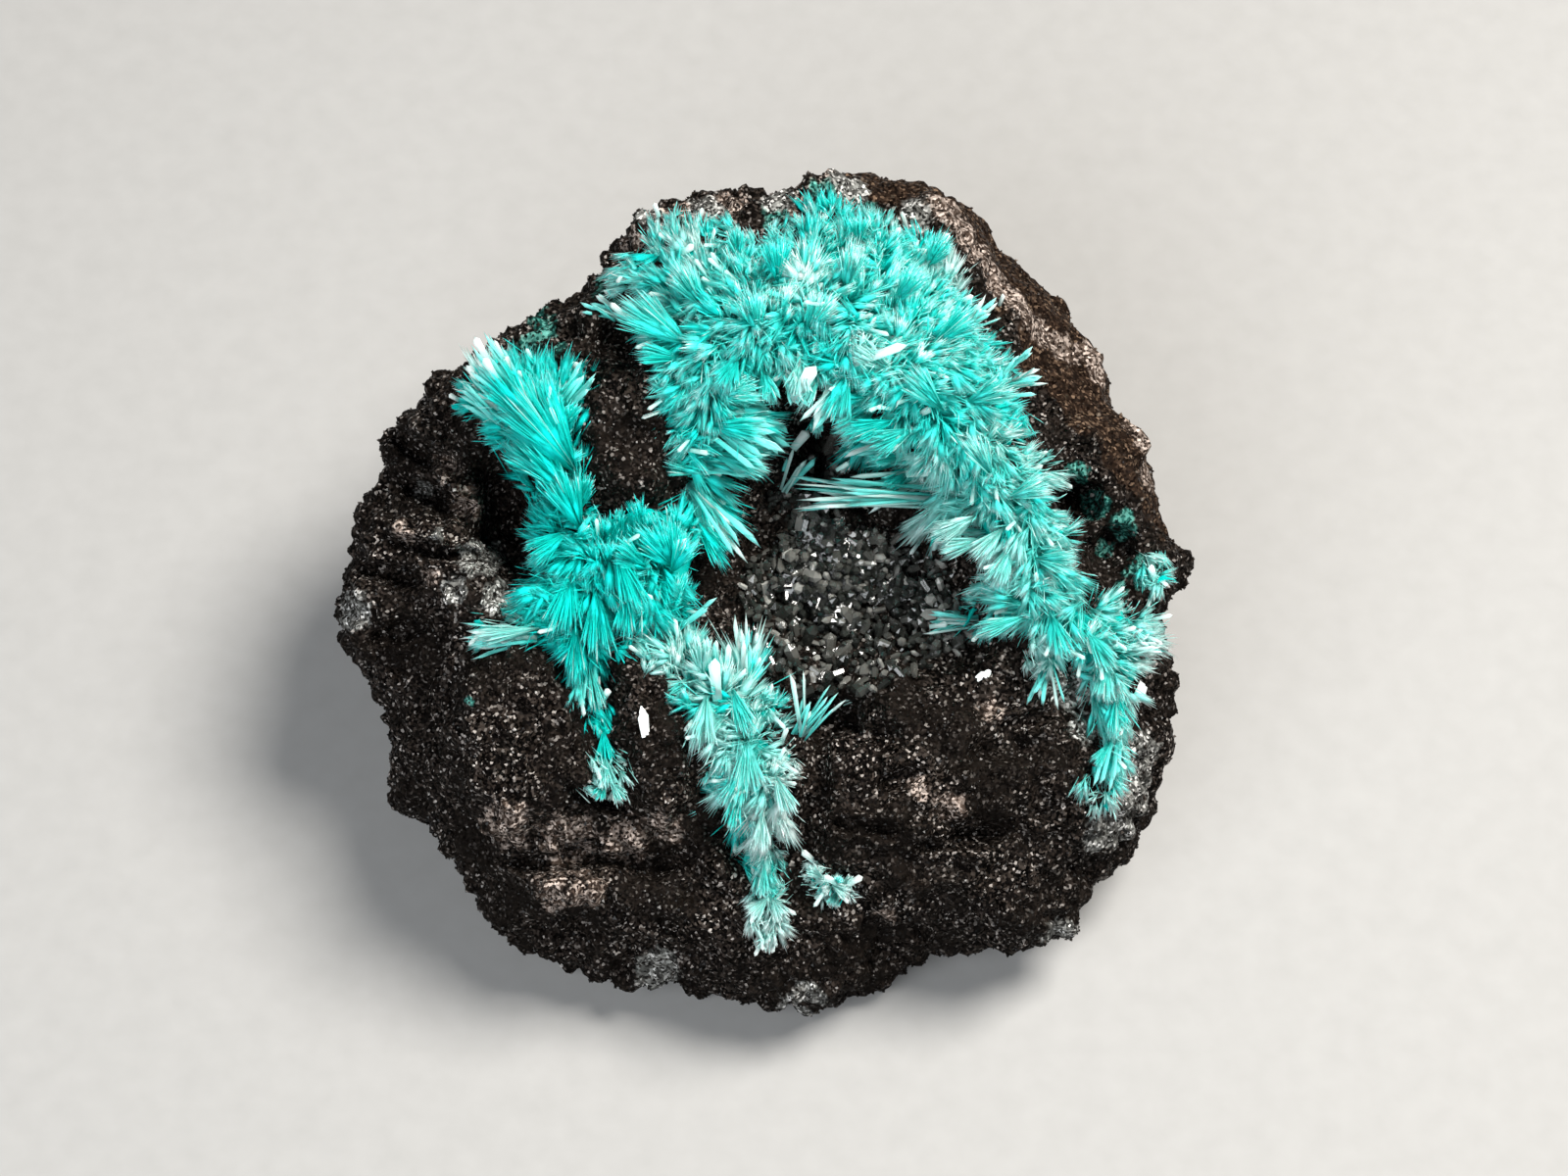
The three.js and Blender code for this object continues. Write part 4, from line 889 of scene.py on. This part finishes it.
def make_crust(name, tufts, rock_tree, seed):
    """One crust: its cushion, lobes of silky sheets all over it, and the crystals that stand out of them."""
    dice = np.random.default_rng(seed)
    growth = Growth()
    ground, glint_specks, raised = [rock_tree], [], BARE_SPRAY_RAISED
    if name not in WITHOUT_CUSHION:
        cushion = evenly_meshed("aurichalcite_" + name, CUSHION_VOXEL, CUSHION_SOFTENING)
        ground, raised = [surface_tree(*cushion), rock_tree], SPRAY_RAISED
        cushion[0][:, 2] -= CUSHION_SUNK
        # The cushion under the lobes is painted dark, as the shade between them.
        growth.add(*cushion, tint=CUSHION_SHADE_TINT)
        glint_specks = add_lobes(growth, name, tufts, ground, dice)
    add_feathers(growth, name, ground, dice)
    add_sprays(growth, SPRAYS.get(name, []), ground, raised, dice)
    # White blades and specks: painted highlights and glints.
    add_blades(growth, HIGHLIGHT_BLADES.get(name, []) + glint_specks, [growth.tree()], dice)
    return growth.piece("fans_" + name, smooth=True)


# The druse, the single crystals and the loose grains

DRUSE_SPACING = 0.31
DRUSE_LEAN = 0.6
DRUSE_SUNK = 0.25  # how far its cushion lies under the crystals' feet
DRUSE_FOOT = 0.12  # how far the crystals' feet are sunk
SMALLEST_DRUSE, DRUSE_RANGE = 0.25, 0.65  # widths


def make_druse(rock_tree, seed=77):
    """Small blocky translucent crystals packed over the cavity's floor."""
    dice = np.random.default_rng(seed)
    growth = Growth()
    cushion = evenly_meshed("cavity_druse", CUSHION_VOXEL, CUSHION_SOFTENING)
    cushion[0][:, 2] -= DRUSE_SUNK
    growth.add(*cushion)
    spots = scattered(DRUSE_PATCHES, DRUSE_SPACING, dice)
    count = len(spots)
    cushion_tree = surface_tree(*cushion)
    ground = [drop_on([cushion_tree, rock_tree], x, y) for x, y in spots]
    roots = np.array([(x, y, z) for (x, y), (z, _) in zip(spots, ground)])
    normals = np.array([normal for _, normal in ground])
    ways = unit(normals + dice.normal(0, DRUSE_LEAN, (count, 3)))
    sides = unit(np.cross(ways, dice.normal(0, 1, (count, 3))))
    widths = SMALLEST_DRUSE + DRUSE_RANGE * dice.beta(1.2, 3.6, count)
    lengths = DRUSE_SUNK + widths * dice.uniform(0.7, 1.7, count)
    thickness = widths * dice.uniform(0.7, 1, count)
    growth.add_crystals(
        DRUSE_CRYSTAL, roots - ways * DRUSE_FOOT, ways, sides, lengths, widths, thickness,
        dice.uniform(-0.1, 0.1, count), tint=dice.uniform(0, 1, count),
    )
    return growth.piece("druse_crystals", smooth=False)


# Blades of a single pale crystal: length and width over the whole's, steps aside (over the width) and ahead,
# splay, tilt, lean of the tip, tint.
PALE_BLADES = [
    (1, 0.75, 0, 0, 0, 0, 0.1, 0.2), (0.82, 0.5, 0.24, -0.1, 0.05, 0.3, -0.2, 0.5),
    (0.7, 0.45, -0.22, 0.15, -0.06, -0.4, 0.2, 0.8),
]
PALE_BLADE_LIFT = 0.12
PALE_BLADE_RAISED = 0.25
PALE_BLADE_THICKNESS = 0.75  # over the width


def make_pale_crystal(node, rock_tree):
    """A single pale crystal: a main blade with two smaller ones grown along it."""
    x, y, length, width, turn = PALE_CRYSTALS[node]
    way = heading(math.radians(turn), PALE_BLADE_LIFT)
    flat = level_side(way)
    z, _ = drop_on([rock_tree], x, y)
    lengths, widths, aside, ahead, splay, tilt, tips, tints = np.array(PALE_BLADES).T
    lengths, widths = length * lengths, width * widths
    root = np.array([x, y, z + PALE_BLADE_RAISED]) - way * length / 2
    roots = root + flat * width * aside[:, None] + way * ahead[:, None]
    ways = unit(way + splay[:, None] * flat)
    sides = unit(flat + tilt[:, None] * UP)
    sides = unit(sides - ways * (sides * ways).sum(axis=1, keepdims=True))
    growth = Growth()
    growth.add_crystals(
        PALE_BLADE, roots, ways, sides, lengths, widths, widths * PALE_BLADE_THICKNESS, tips,
        pale=1.0, tint=tints,
    )
    return growth.piece(node.replace("pale_", "glassy_"), smooth=False)


GRAINS = 20000
GRAINS_ABOVE = 0.4  # height over the floor
SMALLEST_GRAIN, GRAIN_RANGE = 0.05, 0.11  # half their widths
GRAIN_RAISED = 0.35  # over half the width
GRAINS_FACING = (-0.9, 0.3)  # z of the normals where they start, and where they are thickest
SKIN_BARENESS = 0.75  # share of the grains that the skin lacks
GRAIN_CORNERS = np.array([(1, 0, 0), (-1, 0, 0), (0, 1, 0), (0, -1, 0), (0, 0, 1), (0, 0, -1)], dtype=float)
GRAIN_FACES = [(0, 2, 4), (2, 1, 4), (1, 3, 4), (3, 0, 4), (2, 0, 5), (1, 2, 5), (3, 1, 5), (0, 3, 5)]


def make_grains(points, triangles, skin, seed=5):
    """Small angular grains that stand out of the broken rock, thinly over its weathered skin."""
    dice = np.random.default_rng(seed)
    corners = points[triangles]
    faces = area_vectors(points, triangles)
    area = np.linalg.norm(faces, axis=1)
    normals = faces / area[:, None]
    wanted = area * (1 - SKIN_BARENESS * skin[triangles].mean(axis=1))
    wanted *= smooth_step(*GRAINS_FACING, normals[:, 2])
    wanted[to_row(corners.mean(axis=1))[:, 2] < GRAINS_ABOVE * MM] = 0
    picked = dice.choice(len(triangles), GRAINS, p=wanted / wanted.sum())
    share = dice.dirichlet((1, 1, 1), GRAINS)
    middles = (corners[picked] * share[..., None]).sum(axis=1)
    sizes = SMALLEST_GRAIN + GRAIN_RANGE * dice.beta(1.2, 3.4, GRAINS)
    stretch = dice.uniform(0.7, 1.3, (GRAINS, 1, 3))
    axes = unit(dice.normal(0, 1, (GRAINS, 3)))
    sides = unit(np.cross(axes, dice.normal(0, 1, (GRAINS, 3))))
    turns = np.stack([axes, sides, np.cross(axes, sides)], axis=1)
    shapes = (GRAIN_CORNERS[None] * stretch * sizes[:, None, None]) @ turns
    spots = middles[:, None] + normals[picked][:, None] * (GRAIN_RAISED * sizes)[:, None, None] + shapes
    size = len(GRAIN_CORNERS)
    tint = np.repeat(dice.uniform(0, 1, GRAINS), size)
    pale = np.repeat(skin[triangles[picked, 0]], size)
    growth = Growth()
    growth.add(spots.reshape(-1, 3), repeated(GRAIN_FACES, size, GRAINS), tint=tint, pale=pale)
    return growth.piece("gossan_grains", smooth=False)


# Materials

FIBRE_PITCH = 0.11  # millimetres from one fibre to the next in a sheet
TINT_STEP = 20.0  # how far apart tints set two crystals in the pattern of the fibres
STREAK_STRENGTH = 0.9
# The white of pale fibres, also used for the painted highlights on the white blades and specks.
FROST_AND_HIGHLIGHT = (0.66, 0.93, 0.9)
BLOTCHED = (0.95, 1.2)  # where a stain starts and is whole, once blotches have broken its edge
BUMP_STRENGTH = 0.5
GRAIN_TILT = 1.1  # how far the normals of single grains turn
DULL_ROCK = (0.006, 0.0045, 0.0035)
# Painted shade for the creases between grains.
CREASE_SHADE = (0.0015, 0.001, 0.0008)


class Surface:
    """A material with its nodes and shader. What is the same all over is set on the shader's own inputs."""

    def __init__(self, name, **settings):
        self.material = bpy.data.materials.new(name)
        self.material.use_nodes = True
        self.tree = self.material.node_tree
        self.shader = self.tree.nodes["Principled BSDF"]
        for key, value in settings.items():
            self.shader.inputs[key.replace("_", " ")].default_value = value

    def node(self, kind, inputs, **settings):
        """A shader node with its settings, and its inputs set or linked."""
        node = self.tree.nodes.new("ShaderNode" + kind)
        for key, value in settings.items():
            setattr(node, key, value)
        for key, value in inputs.items():
            if isinstance(value, bpy.types.NodeSocket):
                self.tree.links.new(value, node.inputs[key])
            else:
                node.inputs[key].default_value = value
        return node

    def link(self, value, name):
        self.tree.links.new(value, self.shader.inputs[name])

    def attribute(self, name):
        return self.node("Attribute", {}, attribute_name=name).outputs["Fac"]

    def times(self, first, second, plus=0.0):
        """One value times another, and a third added."""
        return self.node("Math", {0: first, 1: second, 2: plus}, operation="MULTIPLY_ADD").outputs[0]

    def between(self, value, low, high, to_low=0.0, to_high=1.0):
        """A value carried from one range to another, and held inside it."""
        ranges = {"From Min": low, "From Max": high, "To Min": to_low, "To Max": to_high}
        return self.node("MapRange", {"Value": value, **ranges}).outputs[0]

    def texture(self, kind, size):
        """A texture whose features are about a size in millimetres."""
        place = self.node("TexCoord", {}).outputs["Object"]
        return self.node(kind, {"Vector": place, "Scale": 1 / (size * MM)})

    def clouds(self, size):
        return self.texture("TexNoise", size).outputs[0]

    def mix(self, share, first, second, blend="MIX"):
        """Two colours mixed by a share."""
        inputs = {0: share, 6: first, 7: second}
        for index in (6, 7):
            if not isinstance(inputs[index], bpy.types.NodeSocket):
                inputs[index] = (*inputs[index], 1)
        return self.node("Mix", inputs, data_type="RGBA", blend_type=blend).outputs[2]

    def ramp(self, value, *stops):
        """A colour ramp from (place, colour) stops."""
        node = self.node("ValToRGB", {"Fac": value})
        elements = node.color_ramp.elements
        while len(elements) < len(stops):
            elements.new(0.5)
        for element, (place, colour) in zip(elements, stops):
            element.position = place
            element.color = (*colour, 1)
        return node.outputs["Color"]

    def bump(self, height, depth):
        """Relief from a height, with its full depth in millimetres."""
        inputs = {"Height": height, "Distance": depth * MM, "Strength": BUMP_STRENGTH}
        self.link(self.node("Bump", inputs).outputs[0], "Normal")

    def glint(self, cells):
        """Turns the normal a little on each cell of a texture, so that single grains catch the light."""
        normal = self.node("NewGeometry", {}).outputs["Normal"]
        offset = self.node("VectorMath", {0: cells, 1: (0.5, 0.5, 0.5)}, operation="SUBTRACT").outputs[0]
        turned = {0: offset, 1: (GRAIN_TILT, GRAIN_TILT, GRAIN_TILT), 2: normal}
        turned = self.node("VectorMath", turned, operation="MULTIPLY_ADD").outputs[0]
        self.link(self.node("VectorMath", {0: turned}, operation="NORMALIZE").outputs[0], "Normal")


def aurichalcite_material():
    """Silky turquoise fibres, with painted shade on the cushion and at their roots, and frosty white where
    they are pale; on the white blades and specks that white is a painted highlight.
    """
    surface = Surface(
        "aurichalcite", Roughness=0.6, Specular_IOR_Level=0.04,
        Subsurface_Weight=0.8, Subsurface_Radius=(0.85, 1, 1), Subsurface_Scale=1.8 * MM,
    )
    along, across, tint, pale = (surface.attribute(name) for name in ("along", "across", "tint", "pale"))
    place = {0: surface.times(across, 1 / FIBRE_PITCH), 1: along, 2: surface.times(tint, TINT_STEP)}
    place = surface.node("CombineXYZ", place).outputs[0]
    fibres = surface.node("TexNoise", {"Vector": place, "Scale": 1.0, "Detail": 2.5}).outputs[0]
    # The first stop is painted shade: it darkens the cushion and the very roots of the sheets, where the
    # lobes cover them.
    body = surface.ramp(
        along, (0, (0, 0.34, 0.3)), (0.1, (0, 0.66, 0.58)), (0.3, (0.001, 0.77, 0.68)),
        (0.85, (0.003, 0.8, 0.71)), (1, (0.04, 0.82, 0.75)),
    )
    streak = surface.ramp(fibres, (0.3, (0.6, 0.8, 0.8)), (0.5, (0.9, 0.95, 0.95)), (0.68, (1, 1, 1)))
    streaked = surface.mix(STREAK_STRENGTH, body, streak, "MULTIPLY")
    light_body = surface.mix(along, (0.002, 0.76, 0.68), (0.015, 0.84, 0.76))
    # Tint gives a random tone, but the cushion's low tint keeps it on the darker body: painted shade.
    lighter = surface.times(surface.between(tint, CUSHION_SHADE_TINT, 1.4), 0.5)
    # Where pale is high the fibres turn white: real pale fibres on the crusts, painted highlights on the
    # blades and specks.
    frost_and_highlight_share = surface.times(pale, surface.times(along, 0.75, plus=0.5))
    colour = surface.mix(frost_and_highlight_share, surface.mix(lighter, streaked, light_body), FROST_AND_HIGHLIGHT)
    surface.link(colour, "Base Color")
    surface.bump(fibres, 0.04)
    return surface.material


def gossan_material():
    """Black granular rock with glinting grains, some of them painted bright, and painted shade in the
    creases between grains, under its skin and stains.
    """
    surface = Surface("gossan", Roughness=0.5, Specular_IOR_Level=0.03)
    grains = surface.texture("TexVoronoi", 0.14)
    blotches = surface.clouds(0.6)
    shade, gloss, _ = surface.node("SeparateColor", {0: grains.outputs["Color"]}).outputs
    # The top stop makes a few grains bright: partly pale grains, partly painted glints.
    dark = surface.ramp(
        shade, (0, (0.0005, 0.0004, 0.0003)), (0.4, (0.0012, 0.0009, 0.0007)),
        (0.65, (0.016, 0.012, 0.0095)), (0.9, (0.05, 0.04, 0.034)), (1, (0.45, 0.41, 0.38)),
    )
    colour = surface.mix(surface.between(surface.clouds(3.5), 0.4, 0.62, to_high=0.8), dark, DULL_ROCK)
    covers = {
        "skin": [
            (0, (0.004, 0.002, 0.0012)), (0.5, (0.013, 0.0075, 0.0047)), (0.85, (0.038, 0.023, 0.015)),
            (1, (0.18, 0.12, 0.08)),
        ],
        "tan": [(0, (0.012, 0.008, 0.006)), (0.5, (0.08, 0.056, 0.043)), (1, (0.6, 0.5, 0.44))],
        "frost_and_glint": [
            (0, (0.012, 0.012, 0.011)), (0.45, (0.09, 0.09, 0.083)), (0.8, (0.27, 0.27, 0.255)),
            (1, (0.8, 0.79, 0.77)),
        ],
        "green": [(0, (0.003, 0.02, 0.016)), (0.5, (0.012, 0.09, 0.074)), (1, (0.11, 0.34, 0.29))],
    }
    for name, stops in covers.items():
        blotched = surface.times(blotches, 1.2, plus=surface.attribute(name))
        colour = surface.mix(surface.between(blotched, *BLOTCHED), colour, surface.ramp(shade, *stops))
    # Darker towards the edges of cells half a millimetre wide: painted shade in the creases between grains.
    crease_shade = surface.between(surface.texture("TexVoronoi", 0.5).outputs["Distance"], 0.0, 0.9)
    surface.link(surface.mix(surface.times(crease_shade, 0.55), colour, CREASE_SHADE), "Base Color")
    surface.link(surface.between(gloss, 0.55, 1.0, 0.75, 0.22), "Roughness")
    surface.glint(grains.outputs["Color"])
    return surface.material


def grain_material():
    """Loose grains of the rock: mostly black and brown, a few bright."""
    surface = Surface("gossan_grains", Roughness=0.3, Specular_IOR_Level=0.15)
    tint, skin = surface.attribute("tint"), surface.attribute("pale")
    dark = surface.ramp(
        tint, (0, (0.0006, 0.0005, 0.0004)), (0.6, (0.003, 0.0023, 0.0018)), (0.86, (0.024, 0.019, 0.015)),
        (0.94, (0.12, 0.1, 0.088)), (1, (0.6, 0.57, 0.54)),
    )
    brown = surface.ramp(
        tint, (0, (0.008, 0.005, 0.004)), (0.6, (0.03, 0.019, 0.013)), (1, (0.24, 0.18, 0.13)),
    )
    dull = surface.times(surface.clouds(3.5), 0.8, plus=surface.times(surface.clouds(0.3), 0.3))
    surface.link(surface.mix(dull, surface.mix(skin, dark, brown), DULL_ROCK), "Base Color")
    return surface.material


def druse_material():
    """Grey translucent crystals with cloudy hearts."""
    surface = Surface("druse", Roughness=0.12, IOR=1.61, Transmission_Weight=0.35)
    clear = surface.ramp(
        surface.attribute("tint"), (0, (0.009, 0.01, 0.0085)), (0.5, (0.032, 0.034, 0.03)),
        (0.85, (0.14, 0.137, 0.124)), (1, (0.55, 0.54, 0.5)),
    )
    cloudy = surface.times(surface.clouds(0.5), 0.6)
    surface.link(surface.mix(cloudy, clear, (0.02, 0.022, 0.019)), "Base Color")
    surface.bump(surface.clouds(0.12), 0.02)
    return surface.material


def glassy_material():
    """Pale crystals: milky white with clearer patches."""
    surface = Surface("pale_crystal", Roughness=0.14, IOR=1.6, Transmission_Weight=0.12)
    milk = surface.ramp(surface.clouds(0.4), (0.3, (0.6, 0.68, 0.65)), (0.6, (0.93, 0.95, 0.94)))
    surface.link(milk, "Base Color")
    surface.bump(surface.clouds(0.2), 0.03)
    return surface.material


def floor_material():
    surface = Surface("floor", Roughness=0.8)
    surface.link(surface.mix(surface.clouds(1.5), (0.235, 0.232, 0.225), (0.27, 0.266, 0.259)), "Base Color")
    return surface.material


# Setting

VIEW_WIDTH = 80.0
SENSOR = 36.0
CAMERA_DISTANCE = 240.0
CAMERA_TARGET = np.array([1.5, 0.5, 0.0])
FLOOR_SIZE = 3  # metres

# The lights: place in the face frame and size in millimetres, power, colour.
LIGHTS = {
    "key": ((140, 175, 225), 150, 2.8, (1, 0.97, 0.92)),
    "fill": ((-110, -80, 260), 260, 1.1, (0.92, 0.96, 1)),
}
ROOM_COLOUR = (0.9, 0.93, 1, 1)
ROOM_STRENGTH = 0.14


def aim(thing, place, target):
    """Puts a camera or light at a place of the face frame, and turns it to a target."""
    place, target = Vector(to_row(place)), Vector(to_row(target))
    thing.location = place
    thing.rotation_euler = (target - place).to_track_quat("-Z", "Y").to_euler()


def add_camera():
    data = bpy.data.cameras.new("camera")
    data.sensor_width = SENSOR
    data.lens = CAMERA_DISTANCE * SENSOR / VIEW_WIDTH
    data.clip_start = 0.005
    camera = add_object("camera", data)
    aim(camera, CAMERA_TARGET + CAMERA_DISTANCE * UP, CAMERA_TARGET)
    bpy.context.scene.camera = camera


def add_lights():
    for name, (place, size, power, colour) in LIGHTS.items():
        data = bpy.data.lights.new(name, "AREA")
        data.shape = "DISK"
        data.size = size * MM
        data.energy = power
        data.color = colour
        aim(add_object(name, data), place, (0, 0, 0))
    world = bpy.data.worlds.new("studio")
    bpy.context.scene.world = world
    world.use_nodes = True
    background = world.node_tree.nodes["Background"]
    background.inputs["Color"].default_value = ROOM_COLOUR
    background.inputs["Strength"].default_value = ROOM_STRENGTH
    bpy.context.scene.view_settings.view_transform = "Standard"


def add_floor():
    bpy.ops.mesh.primitive_plane_add(size=FLOOR_SIZE)
    floor = bpy.context.object
    floor.name = "floor"
    floor.data.materials.append(floor_material())


def dress(piece, material, slot, *nodes):
    """Gives a piece its material and body, and hides the solids that it takes the place of. The slot is not
    used.
    """
    piece.data.materials.append(material)
    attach(piece, "root")
    if nodes:
        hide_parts(*nodes)


add_camera()
add_floor()
add_lights()
rock, rock_points, rock_triangles, rock_skin = make_rock()
dress(rock, gossan_material(), "gossan", "gossan_matrix")
dress(make_grains(rock_points, rock_triangles, rock_skin), grain_material(), "gossan")
rock_tree = surface_tree(rock_points, rock_triangles)
turquoise = aurichalcite_material()
for seed, (name, tufts) in enumerate(TUFTS.items(), start=11):
    dress(make_crust(name, tufts, rock_tree, seed), turquoise, "aurichalcite", "aurichalcite_" + name)
dress(make_druse(rock_tree), druse_material(), "druse", "cavity_druse")
glassy = glassy_material()
for node in PALE_CRYSTALS:
    dress(make_pale_crystal(node, rock_tree), glassy, "pale_crystal", node)
